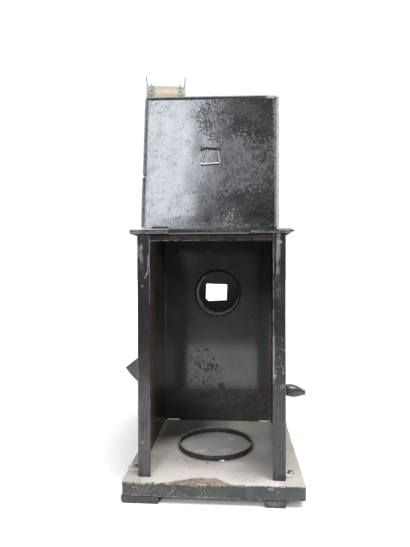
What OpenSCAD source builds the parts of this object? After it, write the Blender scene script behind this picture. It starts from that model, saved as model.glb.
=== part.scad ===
// Hand-cranked film projector of the early tinplate kind: a wooden base, an open
// sheet-iron lamphouse with a hinged lid, and a beater film movement in front of it.
// Millimetres. +Y is the way the light goes, +Z is up.

/* [Base] */
// Width of the wooden base board
base_w = 129.4; // [126:0.2:134]
// Length of the wooden base board
base_l = 210.2; // [208:0.2:220]
// Thickness of the base board
base_t = 10; // [9:0.5:14]
// Height of the wooden feet
foot_t = 5; // [3:0.5:8]

/* [Lamphouse] */
// Outer width of the lamphouse
lh_w = 106; // [105:0.5:107]
// Depth from the open rear to the inside of the front wall
lh_d = 121.3; // [121:0.1:122]
// Height of the lamphouse walls
lh_h = 177.2; // [176:0.2:178]
// Thickness of the sheet iron
sheet = 0.8; // [0.6:0.1:1]
// Width of the turned-in rear flanges
flange_w = 9.3; // [8:0.1:11]

/* [Lid] */
// Width of the lid across its wired edges' centres
lid_w = 94.4; // [92:0.2:100]
// Length of the lid from its hinge axis
lid_l = 97.2; // [96:0.2:106]
// Forward lean of the open lid, in degrees
lid_lean = 6.4; // [4:0.1:14]
// Sideways lean of the lid's sheet, in degrees
lid_skew = 0.65; // [0:0.05:1.5]

/* [Film path] */
// Pitch of the film perforations
film_pitch = 4.75; // [4.7:0.01:4.8]
// Spacing of the two perforation rows
film_rows = 28.17; // [28:0.01:28.3]
// Teeth around the film sprocket
sprocket_n = 16; // [16:1:16]
// Teeth around the spool drum
spool_n = 20; // [20:1:20]
// Turn of the parked spool arm about its post, in degrees
spool_yaw = 8.9; // [0:0.1:15]

/* [Drive] */
// Teeth of the big crank gear
gear_n = 64; // [64:4:64]
// Teeth of the small beater pinion
pinion_n = 16; // [16:1:16]
// Module of the spur gears
gear_m = 0.75; // [0.75:0.05:0.75]
// Distance from the crank shaft to the grip
crank_r = 27.7; // [26:0.1:30]
// Outward splay of the crank handle, in degrees
grip_tilt = 8; // [0:0.5:10]
// Radius of the shutter blade
shutter_r = 80; // [78:0.5:81]

/* [Lens] */
// Radius of the lens barrel
lens_r = 19; // [17:0.5:20]

/* [Hidden] */
$fn = 64;

// ---- heights and stations, measured from the lamphouse's rear plane and the board's top
base_x = 1.5;                      // board centre, sideways of the lamphouse's centre
base_y0 = -8.2;                    // rear edge of the board
hx = lh_w / 2;
roof_z = lh_h + 1;                 // upper face of the roof sheet
hinge_y = -0.9;
hinge_z = roof_z - 1.6;
opt_x = -3;                        // optical axis
opt_z = 124.6;
tube_z = 126.1;
gate_y = 160.5;                    // film plane
crank_y = gate_y - 12.5;           // crank shaft
crank_z = 53;
shaft_gap = gear_m * (gear_n + pinion_n) / 2;
blade_a = 33;                      // direction of the blade's leading tip below the shaft
edge_a = 38.5;                     // slope of the blade's straight edge, which runs past the hub
shut_x = opt_x - 44.5;             // shutter shaft
shut_z = opt_z - 49.3;
beat_z = shut_z;                   // beater shaft, level with the shutter shaft
beat_y = crank_y + sqrt(shaft_gap * shaft_gap - (beat_z - crank_z) * (beat_z - crank_z));
mesh_a = atan2(beat_z - crank_z, beat_y - crank_y);
blade_y = 208.6;
plate_l = -37.5;                   // outer face of the left mechanism plate
plate_r = 31;                      // inner face of the right mechanism plate
plate_t = 2.5;
spool_x = -52.4;                   // middle of the film on the spool
spool_y = 135;
spool_z = 316.8;
spool_r = film_pitch * spool_n / (2 * PI) - 0.12;
post_x = (spool_x + opt_x) / 2;
beater_r = 8.5;                    // throw of the beater roller
grip_x0 = 67.2;
grip_len = 22;

// ---- the whole object is placed with the middle of its bounding box over the origin
x_lo = shut_x - shutter_r * cos(blade_a);
x_hi = grip_x0 + grip_len * cos(grip_tilt) + 3.2 * sin(grip_tilt);
y_lo = base_y0;
y_hi = 214.5;
shift = [-(x_lo + x_hi) / 2, -(y_lo + y_hi) / 2, base_t + foot_t];

// ---- helpers
// a cylinder along X from x0, centred on [y, z]
module rod_x(x0, len, r, y = 0, z = 0) { translate([x0, y, z]) rotate([0, 90, 0]) cylinder(h = len, r = r); }
// a cylinder along Y from y0, centred on [x, z]
module rod_y(y0, len, r, x = 0, z = 0) { translate([x, y0, z]) rotate([-90, 0, 0]) cylinder(h = len, r = r); }
// a YZ outline extruded along X from x0
module slab_x(x0, len, pts) { translate([x0, 0, 0]) rotate([90, 0, 90]) linear_extrude(len) polygon(pts); }
// an XZ outline extruded along +Y from y0
module slab_y(y0, len, pts) { translate([0, y0 + len, 0]) rotate([90, 0, 0]) linear_extrude(len) polygon(pts); }
module placed() { translate(shift) children(); }
// what swings with the spool's arm, turned about the post
module on_arm() placed() translate([post_x, spool_y, 0]) rotate([0, 0, spool_yaw]) translate([-post_x, -spool_y, 0]) children();
// a round-headed wood screw standing on z0
module round_screw(x, y, z0, r = 2.8, deep = 7) {
    translate([x, y, z0]) difference() {
        intersection() {
            translate([0, 0, r * 0.62 - r * 1.12]) sphere(r = r * 1.12);
            cylinder(h = r, r = r);
        }
        translate([-r, -0.35, r * 0.62 - 0.9]) cube([2 * r, 0.7, 2]);
    }
    translate([x, y, z0 - deep]) cylinder(h = deep, r = 1.35);
}

// involute gear outline
function inv(a) = tan(a) * 180 / PI - a;
function half_tooth(r, n, m, slack) =
    let (rp = m * n / 2, rb = rp * cos(20), q = max(r, rb))
    90 / n - slack / rp * 180 / PI + inv(20) - inv(acos(rb / q));
function gear_pts(n, m, add, ded, slack) =
    let (rp = m * n / 2, ra = rp + add * m, rf = rp - ded * m, rb = rp * cos(20),
         r0 = max(rb, rf),
         rs = [rf, r0 + 0.02, r0 + (ra - r0) * 0.35, r0 + (ra - r0) * 0.7, ra])
    [for (i = [0:n - 1])
        for (k = [0:9])
            let (j = k < 5 ? k : 9 - k, s = k < 5 ? -1 : 1,
                 a = i * 360 / n + s * half_tooth(rs[j], n, m, slack))
            [rs[j] * cos(a), rs[j] * sin(a)]];

// ---------------------------------------------------------------- base
lug_pts = [[-hx - 4.5, 14], [hx + 4.5, 11], [-hx - 4.5, 108], [hx + 4.5, 108]];
mech_pts = [[plate_l - 5.5, 138], [plate_l - 5.5, 186], [plate_r + plate_t + 5.5, 138], [plate_r + plate_t + 5.5, 186]];

module base_board() placed() color("dimgray") difference() {
    translate([base_x - base_w / 2, base_y0, -base_t]) cube([base_w, base_l, base_t]);
    for (p = concat(lug_pts, mech_pts)) translate([p[0], p[1], -7.5]) cylinder(h = 8, r = 1.4);
}

module foot_block(x0, y0, w, d) {
    r = 2.5;
    slab_y(y0, d, concat([[x0, -base_t], [x0 + w, -base_t], [x0 + w, -base_t - foot_t]],
        [for (a = [0:15:90]) [x0 + r - r * sin(a), -base_t - foot_t + r - r * cos(a)]]));
}
module feet_left() placed() color("black") {
    foot_block(base_x - base_w / 2, base_y0, 26.4, 20);
    foot_block(base_x - base_w / 2, base_y0 + base_l - 20, 26.4, 20);
}
module feet_right() placed() color("black") {
    foot_block(37, base_y0, 14.8, 20);
    foot_block(37, base_y0 + base_l - 20, 14.8, 20);
}

// ---------------------------------------------------------------- lamphouse
module side_wall(s, rear_lug_y) {
    // s is -1 for the left wall and 1 for the right one
    x_out = s * hx;
    module strip(x0, x1, y0, dy, z0, dz) translate([min(x0, x1), y0, z0]) cube([abs(x1 - x0), dy, dz]);
    difference() {
        union() {
            strip(x_out, x_out - s * sheet, 0, lh_d + 2 * sheet, 0, lh_h);
            strip(x_out, x_out - s * flange_w, 0, sheet, 0, lh_h);
            strip(x_out, x_out - s * 8, lh_d + sheet, sheet, 0, lh_h);
            for (y = [rear_lug_y, 108]) {
                strip(x_out - s * 0.1, x_out + s * 4.5, y - 6, 12, 0, 1.2);
                translate([x_out + s * 4.5, y, 0]) cylinder(h = 1.2, r = 6);
            }
        }
        for (y = [rear_lug_y, 108]) translate([x_out + s * 4.5, y, -1]) cylinder(h = 4, r = 1.5);
        // the corner is nibbled off at the foot of the front wall
        strip(x_out - s * 1.4, x_out - s * 9, lh_d + sheet - 0.2, 2, -1, 1.9);
        for (z = [30, 88, 150]) rod_y(lh_d - 1, 4, 1.05, x_out - s * 4.4, z);
        // room for the roof's rolled rear edge
        rod_x(-hx - 1, lh_w + 2, 1.66, hinge_y, hinge_z);
    }
}
module lamphouse_side_left() placed() color("black") side_wall(-1, 14);
module lamphouse_side_right() placed() color("black") side_wall(1, 11);

module lamphouse_front() placed() color("black") difference() {
    translate([-hx + sheet, lh_d, 0]) cube([lh_w - 2 * sheet, sheet, lh_h]);
    rod_y(lh_d - 1, 3, 21.5, 0, tube_z);
    translate([-hx, lh_d - 1, -1]) cube([14.6, 3, 2.1]);
    translate([hx - 13.2, lh_d - 1, -1]) cube([14, 3, 2]);
    for (s = [-1, 1]) for (z = [30, 88, 150]) rod_y(lh_d - 1, 4, 1.05, s * (hx - 4.4), z);
}
module lamphouse_rivets() placed() color("black")
    for (s = [-1, 1]) for (z = [30, 88, 150]) {
        rod_y(lh_d, 2 * sheet, 1, s * (hx - 4.4), z);
        rod_y(lh_d + 2 * sheet, 0.8, 2, s * (hx - 4.4), z);
    }
module lintel_strip() placed() color("saddlebrown")
    translate([-hx + sheet, sheet, 170]) cube([lh_w - 2 * sheet, sheet, 4.6]);
module lamphouse_screws() placed() color("dimgray")
    for (p = lug_pts) round_screw(p[0], p[1], 1.2, 2.8, 7.5);

// ---------------------------------------------------------------- roof and lid
kn_l = [-57.4, -29.9];             // rolled knuckles of the roof's rear edge
kn_r = [28.4, 56.4];
kn_lid = [-29.2, 27.7];            // the lid's own knuckle
module top_plate() placed() color("black") difference() {
    union() {
        difference() {
            translate([kn_l[0], hinge_y, lh_h]) cube([kn_r[1] - kn_l[0], 126 - hinge_y, 1]);
            translate([-43, 13, lh_h - 1]) cube([86, 82, 3]);
            translate([kn_l[1], -6, lh_h - 1]) cube([kn_r[0] - kn_l[1], 9.6, 3]);
        }
        translate([kn_l[0], 1.2, lh_h - 2.2]) cube([1, 124.8, 2.6]);
        translate([kn_r[1] - 1, 1.2, lh_h - 2.2]) cube([1, 124.8, 2.6]);
        translate([kn_l[0], 125, lh_h - 2.2]) cube([kn_r[1] - kn_l[0], 1, 2.6]);
        // lip turned down inside, behind the rolled edge
        translate([-hx + 1, 3.7, lh_h - 2.8]) cube([lh_w - 2, 0.8, 3]);
        rod_x(kn_l[0], kn_l[1] - kn_l[0], 1.6, hinge_y, hinge_z);
        rod_x(kn_r[0], kn_r[1] - kn_r[0], 1.6, hinge_y, hinge_z);
    }
    rod_x(kn_l[0] - 1, 120, 1, hinge_y, hinge_z);
}
module hinge_wire() placed() color("dimgray") {
    rod_x(kn_l[0] - 0.4, kn_r[1] - kn_l[0] + 1, 0.93, hinge_y, hinge_z);
    translate([kn_r[1] + 0.6, hinge_y, hinge_z]) rotate([0, 90, 0]) cylinder(h = 1.8, r1 = 0.93, r2 = 0.2);
}
// the lid stands in its own frame: hinge axis at the origin, free edge up
module lid_frame() placed() translate([0, hinge_y, hinge_z]) rotate([-lid_lean, 0, 0]) children();
lid_x = -0.9;
module lid() lid_frame() color("black") difference() {
    union() {
        translate([lid_x, 0, 0]) rotate([0, lid_skew, 0]) {
            translate([-lid_w / 2, -3.4, 1]) cube([lid_w, sheet, lid_l - 1]);
            for (s = [-1, 1]) {
                translate([s * lid_w / 2, -3, 2.4]) cylinder(h = lid_l - 2.4, r = 1.1);
                translate([s * lid_w / 2, -3, lid_l]) sphere(r = 1.1);
            }
            rod_x(-lid_w / 2, lid_w, 1.1, -3, lid_l);
        }
        rod_x(kn_lid[0], kn_lid[1] - kn_lid[0], 2, 0, 0);
        translate([kn_lid[0], -3.4, -0.4]) cube([kn_lid[1] - kn_lid[0], 2.2, 2.9]);
    }
    rod_x(kn_lid[0] - 1, kn_lid[1] - kn_lid[0] + 2, 1, 0, 0);
}
pull_x = -0.3;
pull_z = 59.1;
module lid_pull_eyes() lid_frame() color("dimgray")
    for (s = [-1, 1]) translate([pull_x + s * 6.2, 0, 0]) difference() {
        translate([-0.5, -5.5, pull_z - 1.2]) cube([1, 2.1, 2.4]);
        rod_x(-1, 2, 0.61, -4.5, pull_z);
    }
module lid_pull() lid_frame() translate([pull_x, -4.5, pull_z]) color("black") {
    r = 0.55;
    rod_x(-7, 14, r, 0, 0);
    rod_x(-6.9, 13.8, r, 0, -11.4);
    for (s = [-1, 1]) {
        translate([s * 6.9, 0, -11.4]) sphere(r = r + 0.1);
        translate([s * 4.9, 0, 0]) rotate([0, 180 - s * atan2(2, 11.4), 0])
            cylinder(h = sqrt(2 * 2 + 11.4 * 11.4), r = r - 0.04);
    }
}

// ---------------------------------------------------------------- condenser tube and lamp ring
module condenser_tube() placed() color("black") {
    difference() {
        union() {
            rod_y(118.5, 27.5, 21.4, 0, tube_z);
            rod_y(lh_d - 1.2, 1.2, 22.4, 0, tube_z);
        }
        rod_y(118, 30, 20.6, 0, tube_z);
    }
}
module condenser_flange() placed() color("black") difference() {
    rod_y(lh_d + sheet, 1, 25, 0, tube_z);
    rod_y(lh_d, 3, 21.45, 0, tube_z);
}
module lamp_ring() placed() color("dimgray") translate([0.5, 60.2, 0]) difference() {
    cylinder(h = 4.3, r = 31);
    translate([0, 0, -1]) cylinder(h = 7, r = 30);
}

// ---------------------------------------------------------------- film mechanism
mech_outline = [[128, 0], [196, 0], [196, 92], [186, 100], [186, 146], [180, 152], [134, 152], [128, 146]];
bush_r = 5;
module mech_plate(x0, foot_x, mirror_foot) {
    difference() {
        union() {
            slab_x(x0, plate_t, mech_outline);
            translate([foot_x, 130, 0]) cube([10, 64, 2.5]);
        }
        rod_x(x0 - 1, plate_t + 2, bush_r, crank_y, crank_z);
        rod_x(x0 - 1, plate_t + 2, bush_r - 0.8, beat_y, beat_z);
        rod_x(x0 - 1, plate_t + 2, 2.03, 167, 38);
        for (p = mech_pts) translate([p[0], p[1], -1]) cylinder(h = 5, r = 1.5);
        // a weight-saving window
        translate([x0 - 1, 138, 12]) cube([plate_t + 2, 20, 26]);
        translate([x0 - 1, 140, 98]) cube([plate_t + 2, 12, 14]);
    }
}
module mechanism_plate_left() placed() color("gray") mech_plate(plate_l, plate_l - 10, true);
module mechanism_plate_right() placed() color("gray") mech_plate(plate_r, plate_r + plate_t, false);
module mechanism_screws() placed() color("silver")
    for (p = mech_pts) round_screw(p[0], p[1], 2.5, 2.8, 7.5);

in_l = plate_l + plate_t;          // inner face of the left plate
gap_w = plate_r - in_l;            // clear width between the plates
// the projector's picture window, tilted a little, with one corner cut
win = [[-11.4, -6.3], [-8.6, -9.2], [10.9, -8.3], [11.4, 8.4], [-10.7, 9.2]];
pin_xs = [opt_x - 16.2, opt_x + 16.2];
module gate_plate() placed() color("dimgray") difference() {
    union() {
        translate([in_l, gate_y - 2, 98]) cube([gap_w, 2, 54]);
        for (x = [opt_x - 14.6, opt_x + 11.6]) translate([x, gate_y - 0.1, 100]) cube([3, 0.4, 50]);
    }
    slab_y(gate_y - 4, 6, [for (p = win) [opt_x + p[0], opt_z + p[1]]]);
}
module pressure_pins() placed() color("silver")
    for (x = [opt_x - 20, opt_x + 20]) for (z = [104, 145]) {
        rod_y(gate_y, 5, 1.2, x, z);
        rod_y(gate_y + 5, 1.2, 2.2, x, z);
    }
module pressure_frame() placed() color("silver") difference() {
    translate([opt_x - 23, gate_y + 0.6, 101]) cube([46, 1, 47]);
    translate([opt_x - 12.5, gate_y, opt_z - 10.5]) cube([25, 3, 21]);
    for (x = [opt_x - 20, opt_x + 20]) for (z = [104, 145]) rod_y(gate_y, 4, 1.26, x, z);
}
module lens_holder() placed() color("dimgray") difference() {
    translate([in_l, 174, 101]) cube([gap_w, 8, 47]);
    rod_y(173, 12, lens_r + 0.05, opt_x, opt_z);
}
module lens_barrel() placed() color("goldenrod") difference() {
    rod_y(168.5, 28.5, lens_r, opt_x, opt_z);
    rod_y(168, 4.5, lens_r - 2, opt_x, opt_z);
    rod_y(172, 16, lens_r - 3, opt_x, opt_z);
    rod_y(187.5, 10, lens_r - 2, opt_x, opt_z);
}
module lens_knurl_ring() placed() color("goldenrod") difference() {
    union() {
        rod_y(190, 7, lens_r + 2, opt_x, opt_z);
        for (i = [0:35]) translate([opt_x, 190, opt_z]) rotate([-90, 0, 0]) rotate([0, 0, i * 10])
            translate([lens_r + 1.8, -0.6, 0.6]) cube([0.7, 1.2, 5.8]);
    }
    rod_y(189, 9, lens_r + 0.02, opt_x, opt_z);
}
// a biconvex glass of radius r, thickness t at the edge and bulge b on each face
function bulge_pts(r, t, b, n) =
    let (rr = (r * r + b * b) / (2 * b), a = asin(r / rr))
    [for (i = [0:n]) [rr * sin(a * i / n), t / 2 + b - rr + rr * cos(a * i / n)]];
module lens_glass(r, t, b) rotate_extrude() {
    up = bulge_pts(r, t, b, 8);
    polygon(concat(up, [for (i = [8:-1:0]) [up[i][0], -up[i][1]]]));
}
module lens_glass_front() placed() color("lightcyan") translate([opt_x, 190.5, opt_z]) rotate([90, 0, 0]) lens_glass(lens_r - 2.05, 2, 1.4);
module lens_glass_rear() placed() color("lightcyan") translate([opt_x, 170.5, opt_z]) rotate([90, 0, 0]) lens_glass(lens_r - 2.05, 1.4, 1.2);

module guide_roller_pin() placed() color("silver") rod_x(plate_l - 1, gap_w + 2 * plate_t + 2, 2, 167, 38);
module guide_roller() placed() color("goldenrod") difference() {
    union() {
        rod_x(opt_x - 17.5, 35, 4.6, 167, 38);
        rod_x(opt_x - 20, 2.5, 7, 167, 38);
        rod_x(opt_x + 17.5, 2.5, 7, 167, 38);
    }
    rod_x(opt_x - 21, 42, 2.06, 167, 38);
}

// ---------------------------------------------------------------- crank shaft
module bush(x0, flange_x, ro, ri, y, z, flange_r) difference() {
    union() { rod_x(x0, plate_t, ro, y, z); rod_x(flange_x, 1.5, flange_r, y, z); }
    rod_x(x0 - 4, plate_t + 8, ri, y, z);
}
module crank_bushes() placed() color("goldenrod") {
    bush(plate_l, plate_l - 1.5, bush_r - 0.03, 3.05, crank_y, crank_z, 7);
    bush(plate_r, plate_r + plate_t, bush_r - 0.03, 3.05, crank_y, crank_z, 7);
}
module beater_bushes() placed() color("goldenrod") {
    bush(plate_l, plate_l - 1.5, bush_r - 0.83, 2.55, beat_y, beat_z, 6);
    bush(plate_r, plate_r + plate_t, bush_r - 0.83, 2.55, beat_y, beat_z, 6);
}
module crank_shaft() placed() color("silver") rod_x(-43.5, 112, 3, crank_y, crank_z);
module crank_collar() placed() color("silver") difference() {
    union() { rod_x(-42.8, 3.5, 6, crank_y, crank_z); rod_x(plate_r + plate_t + 7.6 + 4, 5, 6, crank_y, crank_z); }
    rod_x(-50, 110, 3.02, crank_y, crank_z);
}
module drive_gear() placed() color("goldenrod") difference() {
    translate([35.4, crank_y, crank_z]) rotate([90, 0, 90]) union() {
        rotate([0, 0, mesh_a]) linear_extrude(4) polygon(gear_pts(gear_n, gear_m, 0.85, 1.15, 0.06));
        cylinder(h = 9.3, r = 7);
    }
    rod_x(30, 20, 3.02, crank_y, crank_z);
    for (i = [0:4]) translate([34, crank_y, crank_z]) rotate([i * 72 + 20, 0, 0]) translate([0, 14.5, 0]) rotate([0, 90, 0]) cylinder(h = 7, r = 5.2);
}
module film_sprocket() placed() color("silver") difference() {
    union() {
        rod_x(opt_x - 17.5, 35, 9, crank_y, crank_z);
        for (s = [-1, 1]) {
            rod_x(opt_x + s * 14.25 - 3.25, 6.5, 12.1, crank_y, crank_z);
            for (i = [0:sprocket_n - 1]) translate([opt_x + s * film_rows / 2, crank_y, crank_z])
                rotate([i * 360 / sprocket_n, 0, 0]) translate([0, 0, 11.6]) cylinder(h = 2, r1 = 1.05, r2 = 0.5, $fn = 20);
        }
    }
    rod_x(opt_x - 20, 40, 3.02, crank_y, crank_z);
}
module crank_arm() placed() color("black") difference() {
    union() {
        rod_x(61.6, 4.9, 7, crank_y, crank_z);
        rod_x(61.6, 4.9, 4.6, crank_y, crank_z - crank_r);
        translate([61.6, crank_y - 4.4, crank_z - crank_r]) cube([4.9, 8.8, crank_r]);
    }
    rod_x(60, 10, 3.02, crank_y, crank_z);
    translate([64, crank_y, crank_z - crank_r]) rotate([0, 90 + grip_tilt, 0]) cylinder(h = 12, r = 2.22, center = true);
}
module crank_nut() placed() color("silver") difference() {
    translate([66.5, crank_y, crank_z]) rotate([0, 90, 0]) cylinder(h = 2.3, r = 5, $fn = 6);
    rod_x(66, 4, 3.02, crank_y, crank_z);
}
// the handle leans outwards, away from the shaft
module handle_frame() placed() translate([grip_x0, crank_y, crank_z - crank_r - (grip_x0 - 64) * tan(grip_tilt)])
    rotate([0, 90 + grip_tilt, 0]) children();
module crank_handle_pin() handle_frame() color("silver") translate([0, 0, -4.6]) cylinder(h = 24, r = 2.2);
module crank_grip() handle_frame() color("black") difference() {
    rotate_extrude() polygon([[0, 0], [4.2, 0], [5.3, 1.2], [6.1, 3.4], [6.5, 6.5], [6.45, 9], [6.1, 12], [5.4, 15], [4.5, 18], [3.8, 20.4], [3.2, 22], [0, 22]]);
    translate([0, 0, -1]) cylinder(h = 20.8, r = 2.26);
}

// ---------------------------------------------------------------- beater shaft
module beater_shaft() placed() color("silver") rod_x(shut_x + 4.1, 43 - shut_x - 4.1, 2.5, beat_y, beat_z);
module beater_pinion() placed() color("goldenrod") difference() {
    translate([35.4, beat_y, beat_z]) rotate([90, 0, 90]) union() {
        rotate([0, 0, mesh_a + 180 + 180 / pinion_n]) linear_extrude(4.2) polygon(gear_pts(pinion_n, gear_m, 0.9, 1.15, 0.06));
        translate([0, 0, 4.2]) cylinder(h = 3.3, r = 5);
    }
    rod_x(30, 20, 2.52, beat_y, beat_z);
}
beat_pin_y = beat_y;               // the roller stands straight below the shaft
beat_pin_z = beat_z - beater_r;
module beater_cheeks() placed() color("goldenrod") difference() {
    union() {
        rod_x(opt_x - 21.5, 2, 12.4, beat_y, beat_z);
        rod_x(opt_x - 26, 4.6, 5.5, beat_y, beat_z);
        rod_x(opt_x + 19.5, 2, 12.4, beat_y, beat_z);
        rod_x(opt_x + 21.4, 4.6, 5.5, beat_y, beat_z);
    }
    rod_x(opt_x - 30, 60, 2.52, beat_y, beat_z);
    rod_x(opt_x - 30, 60, 1.52, beat_pin_y, beat_pin_z);
}
module beater_pin() placed() color("silver") rod_x(opt_x - 21.5, 43, 1.5, beat_pin_y, beat_pin_z);
module beater_roller() placed() color("saddlebrown") difference() {
    rod_x(opt_x - 19.2, 38.4, 3.6, beat_pin_y, beat_pin_z);
    rod_x(opt_x - 20, 40, 1.56, beat_pin_y, beat_pin_z);
}
bevel_r = 7;                       // pitch radius at the large end; the pair is 1:1 at right angles
bevel_n = 14;
bevel_w = 3;                       // face width along the axis
module bevel_teeth(phase) rotate([0, 0, phase])
    linear_extrude(bevel_w, scale = (bevel_r - bevel_w) / bevel_r)
        polygon(gear_pts(bevel_n, 2 * bevel_r / bevel_n, 0.7, 1.0, 0.16));
module bevel_gear_drive() placed() color("goldenrod") difference() {
    union() {
        translate([shut_x + bevel_r, beat_y, beat_z]) rotate([0, -90, 0]) bevel_teeth(90);
        rod_x(shut_x + bevel_r, 1.3, 5, beat_y, beat_z);
    }
    rod_x(shut_x, 30, 2.52, beat_y, beat_z);
}
module bevel_gear_shutter() placed() color("goldenrod") difference() {
    union() {
        translate([shut_x, beat_y + bevel_r, shut_z]) rotate([90, 0, 0]) bevel_teeth(180 / bevel_n);
        rod_y(beat_y + bevel_r, 4, 5, shut_x, shut_z);
    }
    rod_y(beat_y, 30, 2.52, shut_x, shut_z);
}

// ---------------------------------------------------------------- shutter
module shutter_bearing() placed() color("gray") difference() {
    union() {
        translate([shut_x, 186, shut_z - 7]) cube([plate_l - shut_x, 9, 14]);
        rod_y(186, 9, 7, shut_x, shut_z);
    }
    rod_y(185, 12, 2.55, shut_x, shut_z);
}
module shutter_shaft() placed() color("silver") rod_y(beat_y + 4.1, y_hi - beat_y - 4.1, 2.5, shut_x, shut_z);
module shutter_hub() placed() color("goldenrod") difference() {
    union() { rod_y(196, 4, 4.6, shut_x, shut_z); rod_y(200, blade_y - 200, 8, shut_x, shut_z); }
    rod_y(190, 30, 2.52, shut_x, shut_z);
}
function arc_pts(r, a0, a1, n) = [for (i = [0:n]) let (a = a0 + (a1 - a0) * i / n) [r * cos(a), r * sin(a)]];
module sector(r, a0, a1) intersection() {
    circle(r = r, $fn = 120);
    polygon(concat([[0, 0]], arc_pts(r * 1.35, a0, a1, 4)));
}
// the main blade: one straight edge runs from its tip past the hub, the other side is radial
module main_blade() {
    tip = shutter_r * [-cos(blade_a), -sin(blade_a)];
    run = [cos(edge_a), sin(edge_a)];
    past = shutter_r * cos(edge_a - blade_a);
    intersection() {
        circle(r = shutter_r, $fn = 120);
        polygon(concat([tip - 12 * run, tip + past * run, [5, 7]], arc_pts(shutter_r * 1.5, -8, -120, 4)));
    }
}
// angles are seen from behind the machine, from +X towards +Z
module shutter_blade() placed() color("dimgray") difference() {
    translate([shut_x, blade_y + 0.8, shut_z]) rotate([90, 0, 0]) linear_extrude(0.8) union() {
        main_blade();
        sector(shutter_r * 0.97, 70, 115);
        circle(r = 11);
    }
    rod_y(190, 30, 2.52, shut_x, shut_z);
}
module shutter_nut() placed() color("silver") difference() {
    translate([shut_x, blade_y + 0.8, shut_z]) rotate([-90, 0, 0]) cylinder(h = 3.6, r = 4.6, $fn = 6);
    rod_y(190, 30, 2.52, shut_x, shut_z);
}

// ---------------------------------------------------------------- upper spool on its swivel post
module swivel_socket() placed() color("dimgray") difference() {
    translate([in_l, 129, 118]) cube([post_x + 5.3 - in_l, 12, 32]);
    translate([post_x, spool_y, 110]) cylinder(h = 50, r = 4.05);
}
module swivel_post() on_arm() color("black") {
    translate([post_x, spool_y, 114]) cylinder(h = spool_z - 114, r = 4);
    translate([post_x, spool_y, 150.2]) cylinder(h = 6, r = 6.5);
    rod_x(post_x - 4.3, 8.6, 4.4, spool_y, spool_z);
}
module spool_axle() on_arm() color("silver") rod_x(spool_x - 17.4, post_x - 4.3 - spool_x + 17.4, 3, spool_y, spool_z);
module spool_core() on_arm() color("burlywood") difference() {
    union() {
        rod_x(spool_x - 18.2, 36.4, spool_r, spool_y, spool_z);
        for (s = [-1, 1]) for (i = [0:spool_n - 1]) translate([spool_x + s * film_rows / 2, spool_y, spool_z])
            rotate([i * 360 / spool_n + 12, 0, 0]) translate([0, 0, spool_r - 0.5]) cylinder(h = 3.3, r1 = 1.05, r2 = 0.5, $fn = 20);
    }
    rod_x(spool_x - 17.7, 40, 3.06, spool_y, spool_z);
}
// a two-armed cheek whose tips are bent away from the film; s is -1 on the left, 1 on the right
module cheek(s, bore) {
    x0 = spool_x + s * 18.2;
    difference() {
        intersection() {
            slab_x(x0 - 4, 8, [for (p = [[-1.5, -25.4], [1.5, -25.4], [4.6, -18], [6.4, -9], [6.8, 0], [6.4, 9], [4.6, 18], [1.5, 25.4],
                [-1.5, 25.4], [-4.6, 18], [-6.4, 9], [-6.8, 0], [-6.4, -9], [-4.6, -18]]) [spool_y + p[0], spool_z + p[1]]]);
            slab_y(spool_y - 10, 20, [for (p = [[0, -16.5], [0, 16.5], [0.9, 26], [1.8, 26], [0.9, 16.5], [0.9, -16.5], [1.8, -26], [0.9, -26]])
                [x0 + s * p[0], spool_z + p[1]]]);
        }
        if (bore) rod_x(x0 - 4, 8, 3.06, spool_y, spool_z);
    }
}
module spool_cheek_left() on_arm() color("gray") cheek(-1, false);
module spool_cheek_right() on_arm() color("gray") cheek(1, true);
module film_wrap() on_arm() color("khaki") difference() {
    rod_x(spool_x - 17.5, 35, spool_r + 0.9, spool_y, spool_z);
    rod_x(spool_x - 18.5, 37, spool_r + 0.03, spool_y, spool_z);
    for (s = [-1, 1]) for (i = [0:spool_n - 1]) translate([spool_x + s * film_rows / 2, spool_y, spool_z])
        rotate([i * 360 / spool_n + 12, 0, 0]) translate([0, 0, spool_r - 1]) cylinder(h = 4, r = 1.2, $fn = 20);
}

base_board();
feet_left();
feet_right();
lamphouse_side_left();
lamphouse_side_right();
lamphouse_front();
lintel_strip();
lamphouse_rivets();
lamphouse_screws();
top_plate();
hinge_wire();
lid();
lid_pull();
lid_pull_eyes();
condenser_tube();
condenser_flange();
lamp_ring();
mechanism_plate_left();
mechanism_plate_right();
mechanism_screws();
gate_plate();
pressure_frame();
pressure_pins();
lens_holder();
lens_barrel();
lens_knurl_ring();
lens_glass_front();
lens_glass_rear();
guide_roller_pin();
guide_roller();
crank_bushes();
beater_bushes();
crank_shaft();
crank_collar();
crank_arm();
crank_nut();
crank_handle_pin();
crank_grip();
drive_gear();
film_sprocket();
beater_shaft();
beater_pinion();
beater_cheeks();
beater_pin();
beater_roller();
bevel_gear_drive();
bevel_gear_shutter();
shutter_bearing();
shutter_shaft();
shutter_hub();
shutter_blade();
shutter_nut();
swivel_socket();
swivel_post();
spool_axle();
spool_core();
spool_cheek_left();
spool_cheek_right();
film_wrap();
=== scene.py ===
import bpy, math, random
import numpy as np
from mathutils import Vector, Matrix
from mathutils import noise as mnoise


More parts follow.
